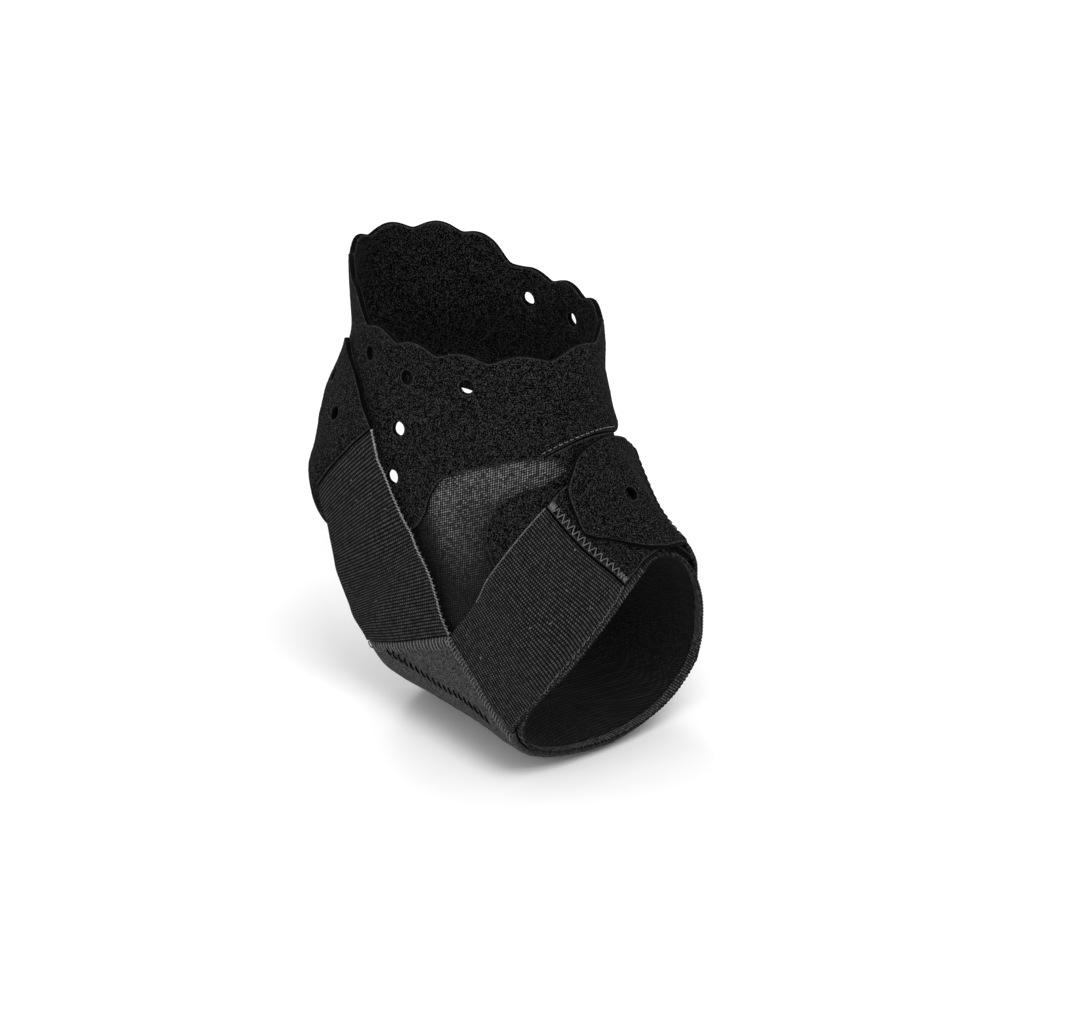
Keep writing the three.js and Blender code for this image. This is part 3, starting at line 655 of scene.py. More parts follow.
# %% Scallops, pile and the cuff
CUFF_TOP = 49.0
HEEL_RISE = 12.0
SCALLOP_DEPTH = 2.8
SCALLOPS = 15
CUFF_RISE = [
    (0, 0.00), (90, 0.08), (100, 0.08), (108, 0.25), (116, 0.60), (130, 0.92), (150, 1.00), (180, 1.00),
]
CUFF_HOLES = [(17.0, 98.8), (22.0, 73.3), (27.7, 46.3), (32.3, 70.4), (40.3, 71.2)]
cuff_rise_at = monotone(*np.array(CUFF_RISE).T)


def wave(around):
    stretch, first_valley, valley_rounding = 5, 3.3, 0.25
    spread = around - stretch * np.sin(2 * np.radians(around))
    phase = np.radians((spread + first_valley) * SCALLOPS / 2)
    return np.hypot(np.cos(phase), valley_rounding) - 1


def cuff_top(around):
    """The turn at which the cuff's surface is as high as its wavy upper edge, found by halving."""
    goal = CUFF_TOP + HEEL_RISE * cuff_rise_at(np.abs(around)) + SCALLOP_DEPTH * wave(around)
    high, low = np.full_like(around, -20.0), np.full_like(around, SEAM_TURN)
    for _ in range(20):
        middle = (high + low) / 2
        above = skin(middle, around)[..., 2] > goal
        high, low = np.where(above, middle, high), np.where(above, low, middle)
    return high


def cuff_seat(turn, around, u):
    beyond = (sleeve_top(around) - turn) * length(per_turn(turn, around))
    return GAP + KNIT * smooth(1 - (beyond - DRAPE_MARGIN) / DRAPE)


def pile(along, across, from_edge):
    """Grain of the pile: fine random tips on broader clumps, with a pressed line beside the edge."""
    tip, clump, limit = 0.025, 0.01, 0.1
    line_depth, line_inset, line_width = 0.1, 1.4, 0.5
    grain = rng.normal(size=along.shape)
    clumps = sum(np.roll(np.roll(rng.normal(size=along.shape), i, 0), j, 1) for i in (0, 1) for j in (0, 1))
    line = line_depth * np.exp(-((from_edge - line_inset) / line_width) ** 2)
    return np.clip(tip * grain + clump * clumps, -limit, limit) - line


sheet("velour_cuff", band_field(30.0, cuff_top, cuff_foot), cuff_seat, VELOUR, cell=(0.66, 0.66),
      ring=True, holes=CUFF_HOLES + mirrored(CUFF_HOLES), relief=pile)

# %% [markdown]
# The tongue
#
# A velour tongue continues the cuff down the instep, where the front tabs stick to it. Its rows
# cross the instep from one curved side edge to the other, so its field is built from rows and not
# from four edges.

# %% The tongue
# Columns: turn in the middle, turn at the side edge, around at the side edge
TONGUE_ROWS = np.array([
    (56.3, 56.3, 23.0), (58.5, 58.2, 18.0), (60.2, 60.3, 14.6), (61.4, 61.6, 12.8), (62.4, 62.2, 17.0),
    (63.2, 62.2, 24.0), (64.3, 61.3, 31.0), (65.4, 59.9, 38.4), (66.6, 58.9, 44.0), (68.0, 58.8, 48.5),
    (69.7, 59.5, 52.6), (71.5, 60.9, 56.7), (73.5, 63.0, 60.2), (75.5, 65.5, 62.3), (78.0, 69.5, 64.0),
    (80.5, 74.5, 63.0), (83.0, 80.0, 59.0), (85.0, 84.2, 52.0), (86.5, 86.5, 44.0),
])
row_shares = np.linspace(0, 1, len(TONGUE_ROWS))
tongue_centre, tongue_turn, tongue_around = [monotone(row_shares, TONGUE_ROWS[:, i]) for i in range(3)]


def tongue_spot(u, v):
    share = 2 * v - 1
    seam = GAP / 2 / length(per_turn(np.array(SEAM_TURN), np.array(0.0)))
    turn = tongue_centre(u) + (tongue_turn(u) - tongue_centre(u)) * np.abs(share) ** 3
    return np.stack([turn + np.where(u == 0, seam, 0), tongue_around(u) * share], -1)


tongue_loop = outline(tongue_spot)


def over_tongue(turn, around, u=None):
    return OVER_SLEEVE + (VELOUR + GAP) * climbed(tongue_loop, turn, around)


def level_seat(height):
    return lambda turn, around, u: np.full_like(turn, height)


sheet("velour_tongue", tongue_spot, level_seat(OVER_SLEEVE), VELOUR, cell=(0.55, 0.7), relief=pile)

# %% [markdown]
# The pad
#
# The pad under the arch is a dense knit over a thin filling. Cushions are often swollen with a
# cloth simulation, but this one is 2.4 mm thick and pulled tight between the straps, so a formula
# does it: the outer face is crowned a little between the seams and dented where the threads pull.

# %% The pad
PAD_CORNER = (66.9, 93.3)
PAD_HEEL_CORNER = (54.3, 120.8)
PAD_TOE_CORNER = (84.1, 110.4)
PAD_REAR_SEAM = [PAD_HEEL_CORNER, (59.3, 108.4), PAD_CORNER]
PAD_FRONT_SEAM = [PAD_CORNER, (70.4, 95.3), (75.0, 98.9), (79.3, 103.7), PAD_TOE_CORNER]
PAD_REAR_EDGE = [PAD_HEEL_CORNER, (55.6, 128), (57.0, 145), (57.7, 162), (58, 180)]
PAD_FRONT_EDGE = [PAD_TOE_CORNER, (83.9, 122), (83.9, 142), (84.1, 160), (84.4, 180)]


def other_side(points):
    return [(turn, 360 - around) for turn, around in points]


def whole(points):
    return points + other_side(points[:-1])[::-1]


pad_spot = field(path(whole(PAD_REAR_EDGE)), path(whole(PAD_FRONT_SEAM + PAD_FRONT_EDGE[1:])),
                 path(PAD_REAR_SEAM), path(other_side(PAD_REAR_SEAM)))


def padding(along, across, from_edge):
    """A low crown, pulled down beside the edge by the overlock."""
    crown, crown_reach, pulled, grain = 0.55, 11, 0.35, 0.04
    return crown * smooth(from_edge / crown_reach) - pulled + grain * rng.normal(size=along.shape)


sheet("arch_pad", pad_spot, level_seat(PAD_SEAT), PAD, cell=(0.6, 0.6), edge=1.1, relief=padding)

# %% [markdown]
# The elastic straps
#
# Each strap is woven elastic. Thick weft rows cross it about a millimetre apart, and that relief
# is large enough to be geometry: the grid is fine along the strap and coarse across it, which
# keeps it light. Two straps of a side meet on the pad, and each ends at a velour tab.

# %% Outlines of the straps, as turn and around
REAR_STRAP_REAR = [
    PAD_HEEL_CORNER, (51.8, 110.6), (49.8, 103.0), (47.1, 97.4), (43.4, 94.0), (39.6, 92.6), (36.2, 92.9),
]
REAR_STRAP_FRONT = [
    PAD_CORNER, (64.4, 91.2), (62.2, 88.7), (59.5, 83.8), (56.9, 80.8), (53.2, 77.6), (49.5, 72.6),
    (46.1, 70.5), (42.1, 71.2), (38.2, 72.4), (34.6, 74.9), (31.0, 79.2),
]
INNER_REAR_STRAP_FRONT = mirrored([
    PAD_CORNER, (59.7, 84.2), (52.0, 76.2), (44.5, 72.4), (37.5, 73.6), (31.0, 79.2),
])
FRONT_STRAP_REAR = [PAD_CORNER, (67.8, 86.0), (68.2, 73.7), (67.9, 60.0), (67.2, 46.5), (66.0, 31.4)]
FRONT_STRAP_FRONT = [
    PAD_TOE_CORNER, (87.6, 93.0), (91.6, 80.5), (94.3, 63), (94.8, 47), (93.6, 34), (91.8, 25.6),
]
INNER_STRAP_REAR = [*mirrored([PAD_CORNER]), (65.2, -76), (62.2, -58), (59.4, -42)]
INNER_STRAP_FRONT = [*mirrored([PAD_TOE_CORNER]), (84.3, -90.5), (83.9, -75), (83.6, -58), (84.6, -40)]
OUTER_TAB_REAR = [(66.0, 31.4), (64.4, 19), (63.8, 8), (64.5, -3)]
OUTER_TAB_FRONT = [(91.8, 25.6), (90.0, 13), (89.2, 4), (88.8, -2)]
OUTER_TAB_END = [(64.5, -3), (68.5, -9), (76, -12), (84, -9), (88.8, -2)]
outer_tab_spot = field(path(OUTER_TAB_REAR), path(OUTER_TAB_FRONT),
                       beside(path([OUTER_TAB_REAR[0], OUTER_TAB_FRONT[0]]), -GAP / 2), path(OUTER_TAB_END))
outer_tab_loop = outline(outer_tab_spot)
RIB_PITCH = 1.0


def over_outer_tab(turn, around, u=None):
    return over_tongue(turn, around) + (VELOUR + 1.2 * GAP) * climbed(outer_tab_loop, turn, around)


def ribs(along, across, from_edge):
    """Weft rows across the strap, a little uneven from row to row."""
    height, sunk, unevenness = 0.16, 0.05, 0.25
    row = np.floor(along / RIB_PITCH)
    uneven = 1 + unevenness * np.sin(row * 12.9898) * np.cos(row * 4.1414)
    return height * np.sin(np.pi * along / RIB_PITCH) ** 2 * uneven - sunk


def on_side(points, side):
    return list(points) if side > 0 else mirrored(points)


# %% The four straps
def rear_seat(turn, around, u):
    return FLUSH_WITH_PAD + (OVER_BOTH - FLUSH_WITH_PAD) * smooth(u / SETTLED)


def front_seat(settled):
    """Flush with the pad at the seam, then on the layers that settled names."""
    def seat(turn, around, u):
        low = settled(turn, around)
        return low + np.maximum(FLUSH_WITH_PAD - low, 0) * (1 - smooth(u / SETTLED))
    return seat


def strap(name, side, seam, gaps, rear, front, seat):
    """A strap between two edges, from the pad's seam, as many gaps away from it, to its tab."""
    start = beside(path(on_side(seam, side)), -side * gaps * GAP)
    end = beside(path([rear[-1], front[-1]]), side * GAP / 2)
    spot = field(path(rear), path(front), start, end)
    sheet(name, spot, seat, ELASTIC, cell=(0.2, 1.0), edge=0.45, relief=ribs)
    return spot, seat


rear_lateral = strap("elastic_rear_lateral", 1, PAD_REAR_SEAM, 1, REAR_STRAP_REAR,
                     REAR_STRAP_FRONT, rear_seat)
rear_medial = strap("elastic_rear_medial", -1, PAD_REAR_SEAM, 1, mirrored(REAR_STRAP_REAR),
                    INNER_REAR_STRAP_FRONT, rear_seat)
front_lateral = strap("elastic_front_lateral", 1, PAD_FRONT_SEAM, 2.5, FRONT_STRAP_REAR, FRONT_STRAP_FRONT,
                      front_seat(over_tongue))
front_medial = strap("elastic_front_medial", -1, PAD_FRONT_SEAM, 2.5, INNER_STRAP_REAR, INNER_STRAP_FRONT,
                     front_seat(over_outer_tab))

# %% [markdown]
# The closing tabs
#
# The straps end in four tabs of the same velour. Two lie on the cuff behind the ankle bones and
# two cross over the instep, the inner one on top. They have the cuff's pile and holes, so they are
# made by the same sheet.

# %% The four tabs
REAR_TAB_REAR = [(36.2, 92.9), (31.8, 100.3), (28.6, 110.5), (25.2, 119.5), (23.8, 129), (22.6, 137)]
REAR_TAB_FRONT = [(31.0, 79.2), (27.3, 86.2), (23.7, 93.4), (20.3, 102.9), (17.6, 114.8)]
REAR_TAB_END = [(22.6, 137), (20.2, 141), (17.6, 138.5), (16.3, 130), (16.4, 121), (17.6, 114.8)]
REAR_TAB_HOLES = [(27.2, 100.5), (22.0, 121.5)]
INNER_TAB_REAR = [(59.4, -42), (57.5, -24), (57.0, -9), (57.5, 0)]
INNER_TAB_FRONT = [(84.6, -40), (87.0, -28), (89.0, -16), (89.6, -6), (88.4, 3), (85.6, 9.5), (81.9, 15.8)]
INNER_TAB_END = [
    (57.5, 0), (58.8, 9), (63.9, 17.8), (65.6, 20.2), (71.4, 22.6), (76.5, 24.2), (78.8, 21.6),
    (81.9, 15.8),
]
INNER_TAB_HOLES = [(73.2, -8.0)]


def rear_tab_seat(turn, around, u):
    return OVER_BOTH + (OVER_CUFF - OVER_BOTH) * smooth(u / (2 * SETTLED))


def velour_tab(name, spot, seat, holes=()):
    sheet(name, spot, seat, VELOUR, cell=(0.5, 0.5), holes=holes, relief=pile)


def rear_tab(name, side):
    rear, front = on_side(REAR_TAB_REAR, side), on_side(REAR_TAB_FRONT, side)
    start = beside(path([rear[0], front[0]]), side * -GAP / 2)
    spot = field(path(rear), path(front), start, path(on_side(REAR_TAB_END, side)))
    velour_tab(name, spot, rear_tab_seat, on_side(REAR_TAB_HOLES, side))


rear_tab("velour_tab_rear_lateral", 1)
rear_tab("velour_tab_rear_medial", -1)
velour_tab("velour_tab_front_lateral", outer_tab_spot, over_tongue)
inner_tab_spot = field(path(INNER_TAB_REAR), path(INNER_TAB_FRONT),
                       beside(path([INNER_TAB_REAR[0], INNER_TAB_FRONT[0]]), GAP / 2), path(INNER_TAB_END))
velour_tab("velour_tab_front_medial", inner_tab_spot, over_outer_tab, INNER_TAB_HOLES)

# %% [markdown]
# Selvedges and stitches
#
# The rear straps have a pale twisted cord along their front edge, and the front straps a thin
# dotted one. The seams show too: a zigzag with a bar-tack at each end holds a front tab on its
# strap, an overlock joins the straps to the pad, a row of slanted stitches crosses the pad and a
# row of straight ones joins the tongue to the cuff. Each row follows the field of its cloth, so
# it bends with it.


# %% Selvedge cords
def edge_line(strap_field, v, inset, start=0.0):
    """The line along one edge of a strap, at the top of its rounded edge."""
    spot, seat = strap_field
    u = np.linspace(start, 1.0, 420)
    spots = spot(u, np.full_like(u, v))
    height = seat(spots[..., 0], spots[..., 1], u) + ELASTIC - inset
    return on_form(spots, height)


threads("selvedge_rear", [edge_line(strap_field, 0.99, 0.3) for strap_field in (rear_lateral, rear_medial)],
        radius=0.33, sides=10, ply=0.34, ply_pitch=2.2)
threads("selvedge_front", [
    edge_line(front_lateral, 0.985, 0.25),
    edge_line(front_medial, 0.985, 0.25),
    edge_line(front_lateral, 0.012, 0.1, start=0.3),
], radius=0.22, sides=8, ply=0.4, ply_pitch=1.6)


# %% Zigzag on the front tabs
def zigzag(spot, seat, lift):
    """A zigzag beside a tab's seam, with a dense bar-tack at each end."""
    tab_length, tab_width = 34.0, 42.0
    pitch, tack_pitch, margin, tack = 1.45, 0.4, 0.8, 3.4
    near_seam, far_seam = 0.5, 4.0
    dense = np.arange(margin, tack, tack_pitch)
    rows = np.concatenate([dense, np.arange(tack, tab_width - tack, pitch), tab_width - dense[::-1]])
    spots = []
    for i, across in enumerate(rows):
        u = (near_seam if i % 2 else far_seam) / tab_length
        spots.append(spot(np.array(u), np.array(across / tab_width)))
    lines = []
    for a, b in zip(spots[:-1], spots[1:]):
        height = float(seat(a[0][None], a[1][None])[0]) + VELOUR
        lines.append(stitch(a, b, height, lift=lift, sink=0.05))
    return lines


threads("zigzag_front", zigzag(outer_tab_spot, over_tongue, lift=0.36), radius=0.19)
threads("zigzag_inner", zigzag(inner_tab_spot, over_outer_tab, lift=0.1), radius=0.19)


# %% Overlock and slanted stitches on the pad
PAD_TOP = PAD_SEAT + PAD - 0.1


def stitch_count(curve, pitch):
    return round(run(curve(np.linspace(0, 1, 60))) / pitch)


def overlock(curve, into, pitch, reach, slant):
    """Stitches that start on a seam and reach into the cloth beside it."""
    count = stitch_count(curve, pitch)
    lines = []
    inner_curve = beside(curve, into * reach)
    for i in range(count):
        share = (i + 0.5) / count
        jitter = rng.uniform(-0.15, 0.15, 2) / count
        a = curve(np.array(np.clip(share + jitter[0], 0, 1)))
        b = inner_curve(np.array(np.clip(share + slant / count + jitter[1], 0, 1)))
        b = a + (b - a) * rng.uniform(0.75, 1.1)
        lines.append(stitch(a, b, PAD_TOP, lift=0.3, sink=0.35))
    return lines


pad_threads = []
for side in (1, -1):
    rear_seam, front_seam = path(on_side(PAD_REAR_SEAM, side)), path(on_side(PAD_FRONT_SEAM, side))
    pad_threads += overlock(rear_seam, side, pitch=1.55, reach=4.7, slant=0.3)
    pad_threads += overlock(front_seam, side, pitch=1.2, reach=2.6, slant=0.4)
threads("pad_overlock", pad_threads, radius=0.21)

SLANT_LINE = [(57.5, 117.3), (62.6, 116.8), (67.6, 115.7), (72.7, 113.0), (79.3, 113.2)]
SLANT_COUNT = 19
SLANT = 1.5  # degrees of around by which each end of a stitch leans out of the row
slanted = []
for side in (1, -1):
    line = path(on_side(SLANT_LINE, side))
    lean = np.array([0, SLANT * side])
    for i in range(SLANT_COUNT):
        a, b = line(np.array(i / SLANT_COUNT)), line(np.array((i + 0.8) / SLANT_COUNT))
        slanted.append(stitch(a - lean, b + lean, PAD_TOP + 0.35, lift=0.2, sink=0.2))
threads("pad_slanted", slanted, radius=0.27)

# The cloth rolled into the seam fills the gap between the pad and a strap
seam_lines = []
for side in (1, -1):
    for seam, gaps in ((PAD_REAR_SEAM, -0.5), (PAD_FRONT_SEAM, -1.25)):
        line = beside(path(on_side(seam, side)), side * gaps * GAP)(np.linspace(0, 1, 90))
        seam_lines.append(on_form(line, np.full(len(line), PAD_SEAT + PAD / 2)))
threads("pad_seam_rolls", seam_lines, radius=0.62)


# %% Straight seams
def straight(curve, pitch, dash, height):
    """Single stitches in a row. dash is the share of the pitch that shows."""
    count = stitch_count(curve, pitch)
    lines = []
    for i in range(count):
        a, b = curve(np.array(i / count)), curve(np.array((i + dash) / count))
        lines.append(stitch(a, b, height, lift=0.22, sink=0.3))
    return lines


instep_seam = path([(54.9, 23.0), (55.1, 12.0), (55.2, 0.0), (55.1, -12.0), (54.9, -23.0)])
threads("instep_seam", straight(instep_seam, pitch=1.75, dash=0.62, height=OVER_CUFF + KNIT - 0.25),
        radius=0.13)
tab_seams = []
for side in (1, -1):
    seam = beside(path([on_side(REAR_TAB_REAR, side)[0], on_side(REAR_TAB_FRONT, side)[0]]), side * -1.6)
    tab_seams += straight(seam, pitch=1.6, dash=0.6, height=OVER_BOTH + VELOUR)
threads("rear_tab_seams", tab_seams, radius=0.16)

# %% [markdown]
# Shader groups
#
# The finishes share a few effects: light fibre tips, woven ribs, knitted loops, a cut edge with a
# pale rim, partly wear and partly a painted highlight, and a wall painted near-black, partly as
# shade, and lint. Each is a node group that takes its sizes as inputs and puts out masks and
# heights, and the Principled shader stays in each material.


# %% Helpers for nodes
def fill(tree, socket, value):
    """Links a socket to another one, or gives it a plain value."""
    if isinstance(value, bpy.types.NodeSocket):
        tree.links.new(value, socket)
    else:
        socket.default_value = value


def node(tree, kind, values=None, **settings):
    """Adds a node, sets its properties and fills or links its inputs."""
    new = tree.nodes.new(kind)
    for name, value in settings.items():
        setattr(new, name, value)
    for key, value in (values or {}).items():
        fill(tree, new.inputs[key], value)
    return new


def maths(tree, operation, *values, clamp=False):
    new = node(tree, "ShaderNodeMath", dict(enumerate(values)), operation=operation, use_clamp=clamp)
    return new.outputs[0]


def plus(tree, a, b, clamp=False):
    return maths(tree, "ADD", a, b, clamp=clamp)


def times(tree, a, b, clamp=False):
    return maths(tree, "MULTIPLY", a, b, clamp=clamp)


def hump(tree, cells):
    """Rises from 0 to 1 and falls back in each cell."""
    return maths(tree, "SINE", times(tree, maths(tree, "FRACT", cells), math.pi))


def scaled(tree, vector, factor):
    """A vector times a number, which may be a socket."""
    return node(tree, "ShaderNodeVectorMath", {0: vector, "Scale": factor}, operation="SCALE").outputs[0]


def split(tree, vector):
    return node(tree, "ShaderNodeSeparateXYZ", {0: vector}).outputs


def uneven_level(tree, column, row, unevenness):
    """1 less a share of the unevenness that is drawn for each cell."""
    cell = node(tree, "ShaderNodeCombineXYZ", {0: column, 1: row}).outputs[0]
    chance = node(tree, "ShaderNodeTexWhiteNoise", {"Vector": cell}, noise_dimensions="3D")
    return maths(tree, "SUBTRACT", 1.0, times(tree, chance.outputs["Value"], unevenness))


def new_group(name, inputs, outputs):
    """A node group with named inputs (name, value) and outputs. An input without a value is a vector."""
    tree = bpy.data.node_groups.new(name, "ShaderNodeTree")
    for label, value in inputs:
        kind = "NodeSocketVector" if value is None else "NodeSocketFloat"
        socket = tree.interface.new_socket(name=label, in_out="INPUT", socket_type=kind)
        if value is not None:
            socket.default_value = value
    for label in outputs:
        tree.interface.new_socket(name=label, in_out="OUTPUT", socket_type="NodeSocketFloat")
    return tree, node(tree, "NodeGroupInput").outputs, node(tree, "NodeGroupOutput").inputs


# %% Fibre tips and clumps
PER_METRE = 1000.0  # object positions are in metres, and the effects are sized in millimetres
FINE_SHARE = 0.84
tree, given, out = new_group("fibre tips", [
    ("Position", None), ("Tip size mm", 0.5), ("Clump size mm", 1.6), ("Contrast", 3.0),
], ["Tips", "Height"])
in_mm = scaled(tree, given["Position"], PER_METRE)
per_tip = maths(tree, "DIVIDE", 1.0, given["Tip size mm"])
per_clump = maths(tree, "DIVIDE", 1.0, given["Clump size mm"])
fine = node(tree, "ShaderNodeTexNoise", {"Vector": in_mm, "Scale": per_tip, "Detail": 1.5, "Roughness": 0.6})
broad = node(tree, "ShaderNodeTexNoise", {"Vector": in_mm, "Scale": per_clump, "Detail": 1.0})
mixed = plus(tree, times(tree, fine.outputs[0], FINE_SHARE), times(tree, broad.outputs[0], 1 - FINE_SHARE))
centred = times(tree, maths(tree, "SUBTRACT", mixed, 0.5), given["Contrast"])
fill(tree, out["Tips"], plus(tree, centred, 0.5, clamp=True))
fill(tree, out["Height"], mixed)

# %% Woven ribs
tree, given, out = new_group("woven ribs", [
    ("Cloth", None), ("Rib pitch mm", RIB_PITCH), ("Warp pitch mm", 0.8), ("Unevenness", 0.6),
], ["Floats", "Height"])
parts = split(tree, given["Cloth"])
rib = maths(tree, "DIVIDE", parts[0], given["Rib pitch mm"])
row = maths(tree, "FLOOR", rib)
rib_wave = hump(tree, rib)
warp = maths(tree, "DIVIDE", parts[1], given["Warp pitch mm"])
warp = plus(tree, warp, times(tree, maths(tree, "MODULO", row, 2.0), 0.5))
dash = hump(tree, warp)
weave = times(tree, maths(tree, "POWER", rib_wave, 2.0), maths(tree, "POWER", dash, 1.5))
level = uneven_level(tree, row, maths(tree, "FLOOR", warp), given["Unevenness"])
fill(tree, out["Floats"], times(tree, weave, level))
fill(tree, out["Height"], plus(tree, rib_wave, times(tree, dash, 0.5)))

# %% Knitted loops
tree, given, out = new_group("knitted loops", [
    ("Cloth", None), ("Wale mm", 0.8), ("Course mm", 0.8), ("Unevenness", 0.5),
], ["Loops", "Height"])
parts = split(tree, given["Cloth"])
wale = maths(tree, "DIVIDE", parts[0], given["Wale mm"])
course = maths(tree, "DIVIDE", parts[1], given["Course mm"])
loop = times(tree, hump(tree, wale), hump(tree, course))
level = uneven_level(tree, maths(tree, "FLOOR", wale), maths(tree, "FLOOR", course), given["Unevenness"])
fill(tree, out["Loops"], times(tree, maths(tree, "POWER", loop, 2.0), level))
fill(tree, out["Height"], loop)

# %% Cut edge with wear, painted light and shade, and lint
# The cut wall is painted near-black: the velour's own dark side and painted shade of the gap beneath it
DARK_SHADED_WALL = 0.24  # millimetres from the edge over which the cut shows
tree, given, out = new_group("cut edge wear, painted light and shade", [("Cloth", None), ("Position", None), ("Width mm", 0.8)],
                             ["Edge", "Dark wall and painted shade"])
in_mm = scaled(tree, given["Position"], PER_METRE)
ragged = node(tree, "ShaderNodeTexNoise", {"Vector": in_mm, "Scale": 1.1}).outputs[0]
width = times(tree, given["Width mm"], plus(tree, ragged, 0.5))
from_edge = split(tree, given["Cloth"])[2]
near_edge = maths(tree, "SUBTRACT", 1.0, maths(tree, "DIVIDE", from_edge, width), clamp=True)
# A pale ragged band beside the edge: partly wear, partly a painted highlight on the rim
fill(tree, out["Edge"], times(tree, near_edge, ragged))
fill(tree, out["Dark wall and painted shade"], maths(tree, "LESS_THAN", from_edge, DARK_SHADED_WALL))

tree, given, out = new_group("lint", [("Position", None), ("Spacing mm", 4.0), ("Size", 0.07)], ["Lint"])
in_spacings = scaled(tree, given["Position"], maths(tree, "DIVIDE", PER_METRE, given["Spacing mm"]))
specks = node(tree, "ShaderNodeTexVoronoi", {"Vector": in_spacings, "Scale": 1.0})
fill(tree, out["Lint"], maths(tree, "LESS_THAN", specks.outputs["Distance"], given["Size"]))
print("node groups:", [group.name for group in bpy.data.node_groups])

# %% [markdown]
# Materials
#
# The cloths are almost black, and a plain glossy shader would turn them grey in the white studio.
# So their specular level is low, and the light comes from a little sheen, from the fibre tips and
# from the relief. The velour is darkest between its tips; its rim is pale, partly wear and partly a
# painted highlight, and its cut wall is painted near-black, partly as shade. The elastic shows pale
# floats on its ribs, the pad is the lightest cloth, and the sleeve's loops get a painted shine where
# it is pulled tightest and a painted shadow beside the rear strap.


# %% Parts that the materials share
def attribute(tree, name):
    return node(tree, "ShaderNodeAttribute", None, attribute_name=name).outputs


def start_material(name):
    material = bpy.data.materials.new(name)
    material.use_nodes = True
    tree = material.node_tree
    shader = tree.nodes["Principled BSDF"]
    position = node(tree, "ShaderNodeTexCoord").outputs["Object"]
    return material, tree, shader, position, attribute(tree, "cloth")["Vector"]


def grey(value, blue=1.02):
    return (value, value, value * blue, 1.0)


def blend(tree, factor, low, high):
    """Mixes two colours, which may be sockets or plain greys."""
    low, high = (grey(c) if isinstance(c, float) else c for c in (low, high))
    return node(tree, "ShaderNodeMix", {0: factor, 6: low, 7: high}, data_type="RGBA").outputs[2]


def use(tree, group, **values):
    """Places a node group in a material. Its inputs are named with _ for their spaces."""
    new = node(tree, "ShaderNodeGroup", None, node_tree=bpy.data.node_groups[group])
    for key, value in values.items():
        fill(tree, new.inputs[key.replace("_", " ")], value)
    return new.outputs


def with_lint(tree, position, colour, spacing, shade):
    lint = use(tree, "lint", Position=position, Spacing_mm=spacing, Size=0.05)
    return blend(tree, lint["Lint"], colour, shade)


def finish_cloth(tree, shader, colour, height, bump, roughness, specular, sheen):
    """Fills the Principled shader. bump is the strength and the distance of the relief."""
    relief = node(tree, "ShaderNodeBump", {"Height": height, "Strength": bump[0], "Distance": bump[1]})
    tree.links.new(colour, shader.inputs["Base Color"])
    tree.links.new(relief.outputs[0], shader.inputs["Normal"])
    shader.inputs["Roughness"].default_value = roughness
    shader.inputs["Specular IOR Level"].default_value = specular
    shader.inputs["Sheen Weight"].default_value = sheen
    shader.inputs["Sheen Roughness"].default_value = 0.45


# %% Velour
velour, tree, shader, position, cloth = start_material("black velour")
tips = use(tree, "fibre tips", Position=position, Tip_size_mm=0.38, Clump_size_mm=1.3, Contrast=5.5)
edge = use(tree, "cut edge wear, painted light and shade", Cloth=cloth, Position=position, Width_mm=0.9)
colour = blend(tree, maths(tree, "POWER", tips["Tips"], 3.2), 0.0002, 0.032)
# The pale band beside the edge is partly wear and partly a painted highlight on the rim
colour = blend(tree, times(tree, edge["Edge"], 1.2, clamp=True), colour, 0.045)
# The cut wall is painted near-black: its own dark side and painted shade of the gap beneath it
colour = blend(tree, edge["Dark wall and painted shade"], colour, 0.002)
colour = with_lint(tree, position, colour, 3.6, 0.08)
finish_cloth(tree, shader, colour, tips["Height"], (0.7, 0.0006),
             roughness=1.0, specular=0.02, sheen=0.008)

# %% Woven elastic
elastic, tree, shader, position, cloth = start_material("ribbed elastic")
woven = use(tree, "woven ribs", Cloth=cloth)
colour = blend(tree, woven["Floats"], 0.0006, 0.08)
colour = with_lint(tree, position, colour, 6.0, 0.1)
finish_cloth(tree, shader, colour, woven["Height"], (0.35, 0.0002),
             roughness=0.85, specular=0.025, sheen=0.006)

# %% Pad knit
pad_knit, tree, shader, position, cloth = start_material("pad knit")
loops = use(tree, "knitted loops", Cloth=cloth, Wale_mm=0.8, Course_mm=0.7, Unevenness=0.9)
tips = use(tree, "fibre tips", Position=position, Tip_size_mm=0.42, Clump_size_mm=1.8, Contrast=4.5)
mask = times(tree, plus(tree, times(tree, loops["Loops"], 0.4), 0.45), tips["Tips"])
colour = with_lint(tree, position, blend(tree, mask, 0.007, 0.135), 5.0, 0.16)
finish_cloth(tree, shader, colour, tips["Height"], (0.6, 0.0006),
             roughness=0.95, specular=0.04, sheen=0.02)

# %% Sheer knit
sheer, tree, shader, position, cloth = start_material("sheer knit")
loops = use(tree, "knitted loops", Cloth=cloth, Wale_mm=0.92, Course_mm=0.7, Unevenness=0.85)
tips = use(tree, "fibre tips", Position=position, Tip_size_mm=2.0, Clump_size_mm=8.0, Contrast=2.0)
patchy = plus(tree, times(tree, tips["Tips"], 0.6), 0.6)
# The loops' pale colour is a painted shine, strongest beside the cuff and gone in the painted strap shadow
shine_on_loops = times(tree, attribute(tree, "stretch")["Fac"], patchy)
mask = times(tree, loops["Loops"], shine_on_loops, clamp=True)
colour = blend(tree, mask, blend(tree, loops["Loops"], 0.004, 0.03), 0.42)
finish_cloth(tree, shader, colour, loops["Height"], (0.5, 0.0003),
             roughness=0.85, specular=0.05, sheen=0.02)


